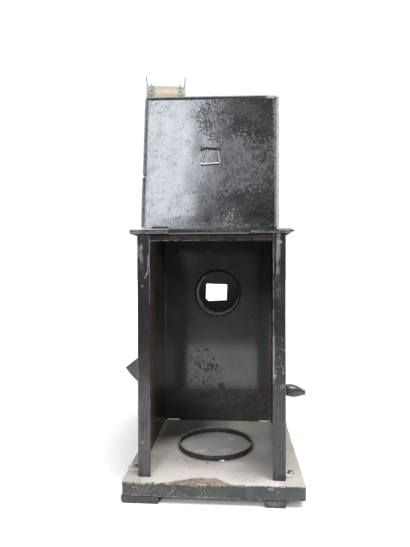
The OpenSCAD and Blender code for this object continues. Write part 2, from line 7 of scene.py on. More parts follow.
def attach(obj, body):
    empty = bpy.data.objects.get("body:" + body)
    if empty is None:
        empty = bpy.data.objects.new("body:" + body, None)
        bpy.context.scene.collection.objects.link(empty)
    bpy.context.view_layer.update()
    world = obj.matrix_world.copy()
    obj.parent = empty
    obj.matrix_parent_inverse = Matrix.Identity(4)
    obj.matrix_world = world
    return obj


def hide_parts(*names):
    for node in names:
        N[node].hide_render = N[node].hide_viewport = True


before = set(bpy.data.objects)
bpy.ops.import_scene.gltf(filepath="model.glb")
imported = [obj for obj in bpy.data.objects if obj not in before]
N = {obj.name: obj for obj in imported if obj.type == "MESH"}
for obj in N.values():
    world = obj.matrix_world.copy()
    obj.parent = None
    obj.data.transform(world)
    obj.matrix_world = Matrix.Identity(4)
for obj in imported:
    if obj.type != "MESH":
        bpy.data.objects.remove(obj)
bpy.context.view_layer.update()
# lamphouse millimetres: x from the lamphouse's middle, y from its rear plane, z from the board's top
S = Vector((12.581197, -103.15, 15.0))
SH = np.array(S)
HINGE = (0.0, -0.9, 176.6)
LEAN = math.radians(6.4)
SKEW = math.radians(0.65)


def P(x, y, z):
    return (Vector((x, y, z)) + S) / 1000


# ================================================================ camera
def make_camera():
    yaw, pitch, roll = (math.radians(a) for a in (-4.026, -0.692, -0.158))
    f = Vector((math.sin(yaw) * math.cos(pitch), math.cos(yaw) * math.cos(pitch), math.sin(pitch)))
    r = Vector((math.cos(yaw), -math.sin(yaw), 0))
    u = r.cross(f)
    r2 = math.cos(roll) * r + math.sin(roll) * u
    u2 = -math.sin(roll) * r + math.cos(roll) * u
    m = Matrix((r2, u2, -f)).transposed().to_4x4()
    m.translation = P(18.12, -314.27, 150.47)
    cam = bpy.data.cameras.new("camera")
    cam.sensor_width = 36
    cam.lens = 36 * 443.57 / 547
    cam.clip_start, cam.clip_end = 0.01, 50
    ob = bpy.data.objects.new("camera", cam)
    ob.matrix_world = m
    bpy.context.scene.collection.objects.link(ob)
    bpy.context.scene.camera = ob


# ================================================================ lights
def area(name, centre, right, up, w, h, radiance, color=(1, 1, 1)):
    """A rectangular light; centre, right and up are in lamphouse millimetres, and it shines along right x up turned over."""
    L = bpy.data.lights.new(name, "AREA")
    L.shape = "RECTANGLE"
    L.size, L.size_y = w / 1000, h / 1000
    L.energy = radiance * math.pi * (w / 1000) * (h / 1000)
    L.color = color
    r = Vector(right).normalized()
    u = (Vector(up) - Vector(up).dot(r) * r).normalized()
    z = r.cross(u)
    ob = bpy.data.objects.new(name, L)
    m = Matrix((r, u, z)).transposed().to_4x4()
    m.translation = P(*centre)
    ob.matrix_world = m
    ob.visible_camera = False
    bpy.context.scene.collection.objects.link(ob)
    return ob


def make_lights():
    e = math.atan2(73, 593)
    r = Vector((math.cos(e), 0, -math.sin(e)))
    u = Vector((math.sin(e), 0, math.cos(e)))
    w, h = 340, 860
    c = Vector((-136.0, -1500, 1025)) - r * w / 2
    # r x u = -Y, so the lamp's -Z shines along +Y
    area("softbox", c, r, u, w, h, 21.5, (0.88, 0.93, 1.0))
    # a grey card beside it, which gives the lid its dim haze
    e = math.atan2(64, 299)
    r = Vector((math.cos(e), 0, math.sin(e)))
    u = Vector((-math.sin(e), 0, math.cos(e)))
    area("card", Vector((48, -1500, 935)), r, u, 290, 270, 1.5, (0.96, 0.98, 0.95))
    c = Vector((520, -470, 1700))
    d = (Vector((0, 20, 60)) - c).normalized()
    right = d.cross(Vector((0, 1, 0))).normalized()
    area("overhead", c, right, right.cross(d), 820, 820, 14.0, (1.0, 0.985, 0.965))


def make_world():
    w = bpy.data.worlds.new("world")
    bpy.context.scene.world = w
    w.use_nodes = True
    t = w.node_tree
    bg = t.nodes["Background"]
    co = t.nodes.new("ShaderNodeTexCoord")
    sep = t.nodes.new("ShaderNodeSeparateXYZ")
    t.links.new(co.outputs["Generated"], sep.inputs[0])

    def rng(sock, a, b, c, d):
        n = t.nodes.new("ShaderNodeMapRange")
        n.interpolation_type = "SMOOTHSTEP"
        t.links.new(sock, n.inputs["Value"])
        for k, v in (("From Min", a), ("From Max", b), ("To Min", c), ("To Max", d)):
            n.inputs[k].default_value = v
        return n.outputs["Result"]

    def mix(f, a, b):
        n = t.nodes.new("ShaderNodeMix")
        t.links.new(f, n.inputs["Factor"])
        for k, v in ((2, a), (3, b)):
            if isinstance(v, float):
                n.inputs[k].default_value = v
            else:
                t.links.new(v, n.inputs[k])
        return n.outputs[0]

    front = rng(sep.outputs["Y"], -0.15, 0.25, 0.16, 1.6)
    up = rng(sep.outputs["Z"], 0.45, 0.9, 0.0, 1.0)
    other = mix(up, front, 1.1)
    path = t.nodes.new("ShaderNodeLightPath")
    t.links.new(mix(path.outputs["Is Camera Ray"], other, 1.02), bg.inputs["Strength"])
    bg.inputs["Color"].default_value = (1, 1, 1, 1)


# ================================================================ materials
class Sock:
    """A number in a shader, with arithmetic."""

    def __init__(s, m, out):
        s.m, s.out = m, out

    def __add__(s, o): return s.m.math("ADD", s, o)
    def __radd__(s, o): return s.m.math("ADD", o, s)
    def __sub__(s, o): return s.m.math("SUBTRACT", s, o)
    def __rsub__(s, o): return s.m.math("SUBTRACT", o, s)
    def __mul__(s, o): return s.m.math("MULTIPLY", s, o)
    def __rmul__(s, o): return s.m.math("MULTIPLY", o, s)
    def __truediv__(s, o): return s.m.math("DIVIDE", s, o)
    def __neg__(s): return s.m.math("MULTIPLY", s, -1.0)
    def abs(s): return s.m.math("ABSOLUTE", s)
    def max(s, o): return s.m.math("MAXIMUM", s, o)
    def min(s, o): return s.m.math("MINIMUM", s, o)
    def pow(s, o): return s.m.math("POWER", s, o)
    def inv(s): return s.m.math("SUBTRACT", 1.0, s)
    def step(s, a, b): return s.m.step(s, a, b)


class Mat:
    def __init__(s, name, rough=0.5, metal=0.0, color=(0.5, 0.5, 0.5), ior=1.5, **consts):
        s.m = bpy.data.materials.new(name)
        s.m.use_nodes = True
        s.t = s.m.node_tree
        s.b = s.t.nodes["Principled BSDF"]
        s.t.nodes.new("ShaderNodeTexCoord")
        s._co = None
        s._p = None
        s.set("Roughness", rough)
        s.set("Metallic", metal)
        s.set("Base Color", color)
        s.set("IOR", ior)
        for k, v in consts.items():
            s.set(k.replace("_", " "), v)

    def set(s, key, v):
        i = s.b.inputs[key] if isinstance(key, str) else key
        if isinstance(v, Sock):
            v = v.out
        if isinstance(v, bpy.types.NodeSocket):
            s.t.links.new(v, i)
        elif isinstance(v, (tuple, list)) and len(v) == 3 and i.type == "RGBA":
            i.default_value = (*v, 1)
        else:
            i.default_value = v

    @property
    def p(s):
        """the point on the object at rest, in lamphouse millimetres"""
        if s._p is None:
            co = s.t.nodes.new("ShaderNodeTexCoord").outputs["Object"]
            n = s.t.nodes.new("ShaderNodeVectorMath")
            n.operation = "MULTIPLY_ADD"
            s.t.links.new(co, n.inputs[0])
            n.inputs[1].default_value = (1000, 1000, 1000)
            n.inputs[2].default_value = tuple(-S)
            s._p = n.outputs[0]
        return s._p

    def xyz(s, vec=None):
        n = s.t.nodes.new("ShaderNodeSeparateXYZ")
        s.t.links.new(vec or s.p, n.inputs[0])
        return [Sock(s, o) for o in n.outputs]

    def vec(s, x, y, z):
        n = s.t.nodes.new("ShaderNodeCombineXYZ")
        for i, v in enumerate((x, y, z)):
            s.set(n.inputs[i], v)
        return n.outputs[0]

    def normal(s):
        n = s.t.nodes.new("ShaderNodeNewGeometry")
        q = s.t.nodes.new("ShaderNodeSeparateXYZ")
        s.t.links.new(n.outputs["Normal"], q.inputs[0])
        return [Sock(s, o) for o in q.outputs]

    def point(s):
        return Sock(s, s.t.nodes.new("ShaderNodeNewGeometry").outputs["Pointiness"])

    def attr(s, name):
        n = s.t.nodes.new("ShaderNodeAttribute")
        n.attribute_name = name
        return Sock(s, n.outputs["Fac"])

    def math(s, op, a, b=None, clamp=False):
        n = s.t.nodes.new("ShaderNodeMath")
        n.operation = op
        n.use_clamp = clamp
        s.set(n.inputs[0], a)
        if b is not None:
            s.set(n.inputs[1], b)
        return Sock(s, n.outputs[0])

    def step(s, x, a, b, lo=0.0, hi=1.0):
        n = s.t.nodes.new("ShaderNodeMapRange")
        n.interpolation_type = "SMOOTHSTEP"
        s.set(n.inputs["Value"], x)
        n.inputs["From Min"].default_value = a
        n.inputs["From Max"].default_value = b
        n.inputs["To Min"].default_value = lo
        n.inputs["To Max"].default_value = hi
        return Sock(s, n.outputs["Result"])

    def noise(s, size, seed=0, detail=2.0, rough=0.5, dist=0.0, stretch=(1, 1, 1), vec=None):
        """0..1 noise whose features are about size millimetres across, longer by stretch"""
        n = s.t.nodes.new("ShaderNodeTexNoise")
        m = s.t.nodes.new("ShaderNodeVectorMath")
        m.operation = "MULTIPLY_ADD"
        s.t.links.new(vec or s.p, m.inputs[0])
        m.inputs[1].default_value = tuple(1 / (size * k) for k in stretch)
        m.inputs[2].default_value = (seed * 7.31 + 3.1, seed * 3.77 + 11.7, seed * 5.13 + 1.9)
        s.t.links.new(m.outputs[0], n.inputs["Vector"])
        n.inputs["Scale"].default_value = 1.0
        n.inputs["Detail"].default_value = detail
        n.inputs["Roughness"].default_value = rough
        n.inputs["Distortion"].default_value = dist
        return Sock(s, n.outputs["Fac"])

    def spots(s, size, seed=0, vec=None, stretch=(1, 1, 1)):
        """distance from scattered points, in cell sizes"""
        n = s.t.nodes.new("ShaderNodeTexVoronoi")
        m = s.t.nodes.new("ShaderNodeVectorMath")
        m.operation = "MULTIPLY_ADD"
        s.t.links.new(vec or s.p, m.inputs[0])
        m.inputs[1].default_value = tuple(1 / (size * k) for k in stretch)
        m.inputs[2].default_value = (seed * 5.31 + 2.1, seed * 2.77 + 7.7, seed * 6.13 + 5.9)
        s.t.links.new(m.outputs[0], n.inputs["Vector"])
        n.inputs["Scale"].default_value = 1.0
        return Sock(s, n.outputs["Distance"]), Sock(s, n.outputs["Color"])

    def mix(s, f, a, b):
        """colours a to b by f"""
        n = s.t.nodes.new("ShaderNodeMix")
        n.data_type = "RGBA"
        s.set(n.inputs["Factor"], f)
        s.set(n.inputs[6], a)
        s.set(n.inputs[7], b)
        return n.outputs[2]

    def mixf(s, f, a, b):
        n = s.t.nodes.new("ShaderNodeMix")
        s.set(n.inputs["Factor"], f)
        s.set(n.inputs[2], a)
        s.set(n.inputs[3], b)
        return Sock(s, n.outputs[0])

    def scale(s, color, f):
        n = s.t.nodes.new("ShaderNodeMix")
        n.data_type = "RGBA"
        n.blend_type = "MULTIPLY"
        n.inputs["Factor"].default_value = 1
        s.set(n.inputs[6], color)
        s.t.links.new(s.vec(f, f, f), n.inputs[7])
        return n.outputs[2]

    def blob(s, u, v, cu, cv, ru, rv, edge=0.35, ang=0.0):
        """1 inside a soft ellipse in the plane (u, v)"""
        du, dv = u - cu, v - cv
        if ang:
            c, k = math.cos(math.radians(ang)), math.sin(math.radians(ang))
            du, dv = du * c + dv * k, dv * c - du * k
        q = (du / ru) * (du / ru) + (dv / rv) * (dv / rv)
        return q.step(1 + edge, 1 - edge)

    def line(s, u, v, a, b, w, soft=0.5):
        """1 on the segment a-b in the plane (u, v), w wide"""
        L = math.hypot(b[0] - a[0], b[1] - a[1])
        c, k = (b[0] - a[0]) / L, (b[1] - a[1]) / L
        du, dv = u - a[0], v - a[1]
        along = du * c + dv * k
        off = (dv * c - du * k).abs()
        m = off.step(w / 2 + soft * w / 2, w / 2 - soft * w / 2)
        e = ((along - L / 2).abs()).step(L / 2 + w / 2, L / 2 - w / 2)
        return m * e

    def bump(s, height, dist, strength=1.0, base=None):
        """height in units of dist, in metres"""
        n = s.t.nodes.new("ShaderNodeBump")
        n.inputs["Strength"].default_value = strength
        n.inputs["Distance"].default_value = dist
        s.set(n.inputs["Height"], height)
        if base is not None:
            s.t.links.new(base, n.inputs["Normal"])
        s.t.links.new(n.outputs[0], s.b.inputs["Normal"])
        return n.outputs[0]


# ================================================================ mesh helpers
def place(v):
    return (np.asarray(v, float) + SH) / 1000.0


def lid_place(v):
    """from the lid's own frame (hinge axis at the origin, free edge up) to lamphouse millimetres"""
    v = np.asarray(v, float)
    c, k = math.cos(LEAN), math.sin(LEAN)
    out = np.empty_like(v)
    out[:, 0] = v[:, 0]
    out[:, 1] = HINGE[1] + v[:, 1] * c + v[:, 2] * k
    out[:, 2] = HINGE[2] - v[:, 1] * k + v[:, 2] * c
    return out


def piece(name, verts, faces, mats, body, replaces=(), sharp=32, face_mats=None, attrs=None):
    me = bpy.data.meshes.new(name)
    me.from_pydata(place(verts).tolist(), [], [tuple(int(i) for i in f) for f in faces])
    for m in mats:
        me.materials.append(m.m if isinstance(m, Mat) else m)
    if face_mats is not None:
        me.polygons.foreach_set("material_index", np.asarray(face_mats, dtype=np.int32))
    me.polygons.foreach_set("use_smooth", np.ones(len(me.polygons), dtype=bool))
    me.set_sharp_from_angle(angle=math.radians(sharp))
    for k, v in (attrs or {}).items():
        a = me.attributes.new(k, "FLOAT", "POINT")
        a.data.foreach_set("value", np.asarray(v, dtype=np.float32))
    me.update()
    ob = bpy.data.objects.new(name, me)
    bpy.context.scene.collection.objects.link(ob)
    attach(ob, body)
    if replaces:
        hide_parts(*replaces)
    return ob


def join(*parts):
    """(verts, faces, mats) lists joined into one mesh"""
    V, F, M, n = [], [], [], 0
    for p in parts:
        v, f = np.asarray(p[0], float), p[1]
        m = p[2] if len(p) > 2 else 0
        V.append(v)
        F += [tuple(i + n for i in q) for q in f]
        M += (list(m) if hasattr(m, "__len__") else [m] * len(f))
        n += len(v)
    return np.concatenate(V), F, M


def tube(path, r, n=12, caps=True, taper=None):
    """a round wire along path"""
    path = np.asarray(path, float)
    T = np.gradient(path, axis=0)
    T /= np.linalg.norm(T, axis=1)[:, None]
    up = np.array([0.0, 0.0, 1.0]) if abs(T[0][2]) < 0.9 else np.array([0.0, 1.0, 0.0])
    a = np.cross(T[0], up)
    a /= np.linalg.norm(a)
    V = []
    rs = np.full(len(path), r) if np.isscalar(r) else np.asarray(r, float)
    for i in range(len(path)):
        a = a - T[i] * a.dot(T[i])
        a /= np.linalg.norm(a)
        b = np.cross(T[i], a)
        for k in range(n):
            t = 2 * math.pi * k / n
            V.append(path[i] + rs[i] * (math.cos(t) * a + math.sin(t) * b))
    F = []
    for i in range(len(path) - 1):
        for k in range(n):
            k2 = (k + 1) % n
            F.append((i * n + k, i * n + k2, (i + 1) * n + k2, (i + 1) * n + k))
    if caps:
        F.append(tuple(range(n - 1, -1, -1)))
        F.append(tuple(range((len(path) - 1) * n, len(path) * n)))
    return np.array(V), F


def revolve(prof, n, axis="y", centre=(0, 0, 0), closed=True):
    """a profile of (r, a) points turned about an axis; closed joins its last point to its first"""
    V, F = [], []
    m = len(prof)
    for k in range(n):
        t = 2 * math.pi * k / n
        c, s_ = math.cos(t), math.sin(t)
        for r, a in prof:
            if axis == "y":
                V.append((r * c, a, r * s_))
            elif axis == "z":
                V.append((r * c, r * s_, a))
            else:
                V.append((a, r * c, r * s_))
    for k in range(n):
        k2 = (k + 1) % n
        for j in range(m if closed else m - 1):
            j2 = (j + 1) % m
            F.append((k * m + j, k * m + j2, k2 * m + j2, k2 * m + j))
    V = np.array(V) + np.array(centre, float)
    return V, F


def out_faces(V, F, inside):
    """turns the faces so that they look away from the point inside (for convex shapes)"""
    c = np.asarray(inside, float)
    G = []
    for f in F:
        p = V[list(f)]
        nrm = np.cross(p[1] - p[0], p[2] - p[0])
        G.append(tuple(f) if nrm.dot(p.mean(0) - c) > 0 else tuple(reversed(f)))
    return G


def fix_normals(ob):
    import bmesh
    bm = bmesh.new()
    bm.from_mesh(ob.data)
    bmesh.ops.recalc_face_normals(bm, faces=bm.faces)
    bm.to_mesh(ob.data)
    bm.free()
    ob.data.update()


def fbm(p, size, seed=0, octaves=3):
    """smooth noise around 0, about -1..1, at the points p in millimetres"""
    out = np.zeros(len(p))
    for i, q in enumerate(np.asarray(p, float)):
        v = Vector((q[0] / size + seed * 7.3, q[1] / size + seed * 3.1, q[2] / size + seed * 5.7))
        out[i] = mnoise.fractal(v, 1.0, 2.0, octaves)
    return out


# ================================================================ paints and metals
def painted_iron(name, seed, tone=0.015, rough=0.27, specks=1.0, rust=0.35, grey=0.0, extra=None, spec=0.5, peel=1.0):
    """old black stove paint on sheet iron, with dust, fine pits and a little rust"""
    m = Mat(name)
    m.b.inputs["Specular IOR Level"].default_value = spec
    big = m.noise(26, seed, 3, 0.6)
    mid = m.noise(4.5, seed + 2, 3, 0.62)
    fine = m.noise(0.9, seed + 1, 2, 0.6)
    col = m.mix(big.step(0.35, 0.7), (tone * 0.75, tone * 0.77, tone * 0.8), (tone * 1.5 + grey, tone * 1.5 + grey, tone * 1.55 + grey))
    sp = (fine * 0.6 + mid * 0.55).step(0.70, 0.80) * specks
    col = m.mix(sp * 0.8, col, (0.085, 0.083, 0.08))
    rm = (m.noise(7, seed + 3, 4, 0.68) + fine * 0.08).step(0.68, 0.76) * rust
    col = m.mix(rm, col, (0.075, 0.032, 0.014))
    ro = (fine - 0.5) * 0.12 + sp * 0.25 + rm * 0.3 + big * 0.08 + rough
    h = fine * 0.5 + mid * 0.5 - sp * 0.3
    if extra:
        col, ro, h = extra(m, col, ro, h, dict(big=big, mid=mid, fine=fine, sp=sp))
    m.set("Base Color", col)
    m.set("Roughness", ro)
    m.bump(h, 0.00012 * peel, 0.6)
    return m


def metal(name, seed, color, rough=0.32, tarnish=(0.1, 0.09, 0.08), amount=0.4, brushed=None, dirt=0.3):
    """a turned or milled metal with a dull, uneven surface"""
    m = Mat(name, metal=1.0)
    big = m.noise(9, seed, 3, 0.6)
    fine = m.noise(0.7, seed + 1, 2, 0.6)
    f = big.step(0.4, 0.72) * amount
    col = m.mix(f, color, tarnish)
    d = (m.noise(2.6, seed + 3, 3, 0.7)).step(0.60, 0.72) * dirt
    col = m.mix(d, col, tuple(c * 0.35 for c in tarnish))
    m.set("Base Color", col)
    m.set("Roughness", (fine - 0.5) * 0.15 + f * 0.25 + d * 0.3 + rough)
    m.set("Metallic", (d * 0.6).inv())
    h = fine
    if brushed:
        h = fine * 0.3 + m.noise(0.5, seed + 5, 2, 0.6, stretch=brushed) * 0.7
    m.bump(h, 0.00006, 0.5)
    return m


def board_paint(m, seed):
    """slate paint of the board's edges and feet"""
    big = m.noise(18, seed, 3, 0.6)
    fine = m.noise(0.8, seed + 1, 2, 0.6)
    grain = m.noise(1.4, seed + 4, 3, 0.6, stretch=(14, 1, 1))
    col = m.mix(big.step(0.3, 0.7), (0.030, 0.031, 0.033), (0.055, 0.056, 0.058))
    return col, big, fine, grain


def make_materials():
    M = {}

    # ---- base board: dusty pale coat on top, slate paint on the edges, bare wood where it has worn off
    m = Mat("board_coat")
    x, y, z = m.xyz()
    nx, ny, nz = m.normal()
    wear = m.attr("wear")
    big = m.noise(22, 3, 4, 0.6)
    mid = m.noise(5, 4, 3, 0.6)
    fine = m.noise(0.8, 5, 2, 0.65)
    grain = m.noise(1.6, 6, 3, 0.6, stretch=(14, 1, 1))
    top = nz.step(0.45, 0.75) * (y + 8.2 + (m.noise(1.6, 24, 3, 0.7) - 0.5) * 5.0).step(0.0, 0.9)
    coat = m.mix(big.step(0.3, 0.7), (0.33, 0.305, 0.285), (0.43, 0.405, 0.385))
    coat = m.mix((mid * 0.5 + fine * 0.5).step(0.52, 0.66) * 0.5, coat, (0.24, 0.225, 0.205))
    # paler towards the rear edge, greyer inside the hoop
    coat = m.mix(y.step(36, 6) * 0.72, coat, (0.62, 0.59, 0.56))
    coat = m.mix((x + mid * 8).step(-30, -46) * y.step(50, 20) * 0.4, coat, (0.30, 0.275, 0.24))
    # painted shadow of the right wall on the board near the rear
    coat = m.mix(m.blob(x + mid * 6, y, 30, 10, 14, 12, 0.9) * 0.4, coat, (0.28, 0.26, 0.23))
    coat = m.mix(m.blob(x + mid * 4, y, 40, 66, 10, 22, 0.8) * 0.45, coat, (0.60, 0.575, 0.55))
    hoop = m.blob(x, y, 0.5, 60.2, 30, 30, 0.08)
    coat = m.mix(hoop * 0.55, coat, (0.30, 0.30, 0.285))
    # darker in a band round the hoop's foot
    rr = ((x - 0.5) * (x - 0.5) + (y - 60.2) * (y - 60.2)).pow(0.5)
    rim = (rr - 31.0).abs().step(4.0, 0.0)
    coat = m.mix(rim * 0.45, coat, (0.10, 0.088, 0.075))
    # painted shadow: near black in the far left corner inside, where the left wall keeps the light off
    inside = y.step(121.9, 121.4)
    coat = m.mix((y + big * 24 - x * 0.55).step(82, 118) * inside * x.step(16, -20) * 0.97, coat, (0.013, 0.011, 0.010))
    # darker deeper inside, towards the front wall
    coat = m.mix((y + big * 26).step(80, 140) * inside * 0.22, coat, (0.12, 0.105, 0.085))
    # painted light: paler in the far right corner inside, where light reaches in
    coat = m.mix(m.blob(x, y, 34, 112, 20, 24, 0.9) * inside * 0.75, coat, (0.62, 0.60, 0.49))
    # painted light: a near white strip on the board just beyond the front wall, seen lit through the gap under it
    coat = m.mix(y.step(121.5, 122.2) * y.step(127, 124), coat, (0.88, 0.87, 0.85))
    # darker along the foot of both walls
    coat = m.mix((x.abs() + mid * 5).step(49, 55) * 0.35, coat, (0.17, 0.15, 0.12))
    # stain beside the crumb, and small dark marks
    coat = m.mix(m.blob(x + mid * 3, y + fine * 2, 17, 25.5, 9.5, 4.5, 0.5) * 0.5, coat, (0.58, 0.56, 0.53))
    coat = m.mix(m.blob(x, y, -4.4, 25.7, 0.9, 0.9, 0.4), coat, (0.02, 0.018, 0.016))
    coat = m.mix(m.line(x + mid * 2, y, (-21.5, 29.5), (-16.5, 26.0), 0.45), coat, (0.07, 0.06, 0.05))
    coat = m.mix(m.line(x, y + mid * 2, (-12.5, 22.0), (-9.5, 24.0), 0.4) * 0.8, coat, (0.1, 0.09, 0.08))
    flk = m.blob(x + fine * 3, y + mid * 3, -9.0, 49.5, 5.5, 2.4, 0.6) * fine.step(0.48, 0.6)
    coat = m.mix(flk, coat, (0.6, 0.57, 0.53))
    flk2 = m.blob(x + mid * 3, y + fine * 3, 9.5, 52, 6.0, 4.0, 0.8) * 0.35
    coat = m.mix(flk2, coat, (0.5, 0.48, 0.44))
    d, c = m.spots(7.5, 3)
    coat = m.mix(d.step(0.10, 0.05) * 0.7, coat, (0.09, 0.075, 0.06))
    grit = m.noise(1.3, 23, 3, 0.75)
    coat = m.mix((grit * 0.6 + mid * 0.4 + (big - 0.5) * 0.1).step(0.56, 0.68) * 0.5, coat, (0.17, 0.145, 0.12))
    coat = m.mix((grit * 0.55 + fine * 0.45).step(0.40, 0.33) * 0.4, coat, (0.62, 0.60, 0.57))
    # bare brown wood, in a low hill along the rear edge, and thin wear along the other edges
    hill = (x.step(-38, -6) * x.step(17, 2) * 9.2 - 8.0) + (mid - 0.5) * 4.0 + (fine - 0.5) * 2.0
    bare = (hill - y + (grit - 0.5) * 2.0).step(-0.9, 0.9)
    bare = bare * ((grit * 0.6 + mid * 0.4).step(0.34, 0.50) * 0.55 + 0.45)
    bare = bare.max(wear.step(0.45, 0.75) * y.step(170, 20) * grit.step(0.46, 0.60) * 0.5)
    wood = m.mix(grain.step(0.35, 0.68), (0.13, 0.088, 0.060), (0.31, 0.24, 0.18))
    wood = m.mix(fine.step(0.52, 0.66) * 0.6, wood, (0.42, 0.37, 0.31))
    wood = m.mix(grit.step(0.56, 0.66) * 0.5, wood, (0.07, 0.055, 0.045))
    coat = m.mix(bare, coat, wood)
    # edges
    paint, b2, f2, g2 = board_paint(m, 9)
    paint = m.mix((g2 * 0.5 + f2 * 0.5).step(0.56, 0.68) * 0.25, paint, (0.10, 0.10, 0.10))
    low = (z + 10.0 - (mid - 0.5) * 2.6 - (fine - 0.5) * 1.6).step(1.1, 0.2) * (x.step(28, -8) * 0.85 + 0.10) * grit.step(0.44, 0.54)
    chips = (wear + (fine - 0.5) * 0.9).step(0.62, 0.78)
    d2, c2 = m.spots(6.5, 8)
    fleck = (d2 + (fine - 0.5) * 0.2).step(0.13, 0.06) * m.noise(14, 21, 2).step(0.45, 0.6)
    paint = m.mix(chips.max(low), paint, m.mix(fine.step(0.38, 0.56), (0.22, 0.17, 0.12), (0.60, 0.57, 0.52)))
    d3, c3 = m.spots(3.4, 12)
    left = x.step(30, -10) * 0.6 + 0.4
    small = (d3 + (fine - 0.5) * 0.25).step(0.11, 0.05) * (m.noise(9, 25, 2) * 0.6 + (z + 5.0).abs() * 0.05).step(0.40, 0.55) * left
    paint = m.mix(small * 0.8, paint, (0.55, 0.54, 0.51))
    dust = m.noise(0.95, 26, 2, 0.6).step(0.60, 0.65) * (m.noise(8, 27, 2) + (z + 5.0).abs() * 0.02).step(0.42, 0.56) * (x.step(24, -12) * 0.85 + 0.15)
    paint = m.mix(dust * 0.75, paint, (0.50, 0.485, 0.45))
    rimz = (z + (mid - 0.5) * 2.4 + (fine - 0.5) * 1.2).step(-1.5, -0.7) * x.step(26, -6) * m.noise(3.0, 28, 3, 0.7).step(0.44, 0.54)
    paint = m.mix(rimz * 0.8, paint, m.mix(grit.step(0.42, 0.58), (0.13, 0.092, 0.062), (0.50, 0.46, 0.40)))
    paint = m.mix((mid * 0.6 + grit * 0.4).step(0.54, 0.68) * 0.35, paint, (0.12, 0.12, 0.122))
    paint = m.mix(m.line(x + mid * 1.5, z, (-43.5, -2.5), (-44.5, -7.5), 0.6) * fine.step(0.42, 0.56) * 0.6, paint, (0.45, 0.44, 0.42))
    paint = m.mix(fleck * 0.85, paint, (0.62, 0.60, 0.57))
    scuff = m.blob(x + mid * 3, z + (fine - 0.5) * 1.5, 43.4, -1.9, 2.2, 0.9, 0.9) * grit.step(0.36, 0.52) * 0.55
    paint = m.mix(scuff, paint, (0.42, 0.41, 0.38))
    band = m.blob(x, z, 27.0, -4.5, 2.4, 9, 0.6) * 0.22
    paint = m.mix(band * 0.4, paint, (0.25, 0.25, 0.26))
    under = nz.step(-0.6, -0.9)
    paint = m.mix(under, paint, m.mix(grain.step(0.35, 0.65), (0.15, 0.10, 0.06), (0.24, 0.18, 0.12)))
    m.set("Base Color", m.mix(top, paint, coat))
    m.set("Roughness", m.mixf(top, 0.42 + (f2 - 0.5) * 0.2 + chips * 0.3 + under * 0.3, 0.78))
    m.bump(fine * 0.5 + grain * 0.35 - chips * 0.4 + mid * 0.3, 0.00025, 0.7)
    M["board"] = m

    # ---- feet
    m = Mat("foot_paint")
    x, y, z = m.xyz()
    col, big, fine, grain = board_paint(m, 31)
    sc = m.blob(x + (big - 0.5) * 4, z + (fine - 0.5) * 1.2, 44.0, -12.2, 4.8, 1.6, 1.0) * m.noise(1.2, 34, 3, 0.7).step(0.46, 0.58)
    col = m.mix(sc * 0.55, col, (0.34, 0.33, 0.31))
    lo = (z + 15).step(0.9, 0.2) * m.noise(3, 33, 3).step(0.5, 0.6) * 0.7
    col = m.mix(lo, col, (0.28, 0.2, 0.13))
    m.set("Base Color", col)
    m.set("Roughness", (fine - 0.5) * 0.2 + 0.45)
    m.bump(fine * 0.5 + grain * 0.5, 0.0002, 0.6)
    M["foot"] = m

    # ---- lamphouse walls
    def walls(side):
        def f(m, col, ro, h, q):
            x, y, z = m.xyz()
            nx, ny, nz = m.normal()
            streak = m.noise(0.9, 41 + side, 3, 0.6, stretch=(1, 1, 16))
            hair = m.noise(0.45, 45 + side, 2, 0.7, stretch=(1, 1, 14))
            patch = m.noise(6, 43 + side, 3, 0.6, stretch=(1, 1, 2.5))
            face = y.step(1.4, 0.6)
            inner = y.step(1.2, 2.2) * (nx * -side).step(0.3, 0.7)
            wear = m.attr("wear")
            if side < 0:
                dark = face * (z + (patch - 0.5) * 30).step(66, 96) * ((q["mid"] * 0.6 + hair * 0.4).step(0.36, 0.56) * 0.35 + 0.45)
                col = m.mix(dark, col, (0.004, 0.004, 0.005))
                worn = (x + 48.6 + (patch - 0.5) * 5).step(0.8, -0.6) * z.step(140, 166)
                m1 = worn * (streak * 0.5 + hair * 0.5 + (q["mid"] - 0.5) * 0.35).step(0.50, 0.60) * 0.6
                s = m.line(x, z, (-44.9, 160), (-45.0, 148.6), 0.5).max(m.line(x, z, (-45.0, 148.6), (-47.3, 143.2), 0.55)) * (q["mid"] + streak).step(0.86, 1.04)
                s = s.max(m.line(x, z, (-50.4, 172), (-50.0, 159), 0.55).max(m.line(x, z, (-51.9, 171), (-51.7, 158), 0.45) * 0.7) * streak.step(0.40, 0.5) * 0.8)
                s = s.max(m.blob(x, z, -49.1, 137.6, 0.6, 1.0, 0.6) * 0.4)
                s = s.max(m.blob(x, z, -49.4, 25.0, 0.55, 0.8, 0.6) * 0.6)
                # painted highlight: a broken pale line along the flange's inner edge, high up
                inner_edge_highlight = (x + 43.95).abs().step(0.5, 0.1) * z.step(118, 140) * (hair * 0.5 + q["mid"] * 0.6).step(0.42, 0.58) * 0.45
            else:
                lane = (x - 47.6 + (patch - 0.5) * 2.0).abs().step(1.9, 0.7)
                m1 = lane * (streak * 0.5 + hair * 0.5 + (q["mid"] - 0.5) * 0.3 + z.step(118, 168) * 0.10).step(0.53, 0.63) * z.step(100, 150) * 0.55
                s = m.line(x, z, (46.9, 162), (46.6, 146), 0.5) * (hair * 0.6 + q["mid"] * 0.6).step(0.54, 0.66) * 0.8
                s = s.max(m.blob(x + (q["mid"] - 0.5) * 3, z, 49.4, 169.0, 1.9, 1.1, 0.5) * (streak + q["mid"]).step(0.9, 1.06) * 0.8)
                low = (x - 48.2).abs().step(4.5, 2.5) * z.step(104, 98) * z.step(62, 70)
                s = s.max(low * (streak * 0.6 + q["mid"] * 0.5).step(0.59, 0.68) * 0.75)
                s = s.max(m.blob(x, z, 45.2, 74.5, 0.6, 0.6, 0.5))
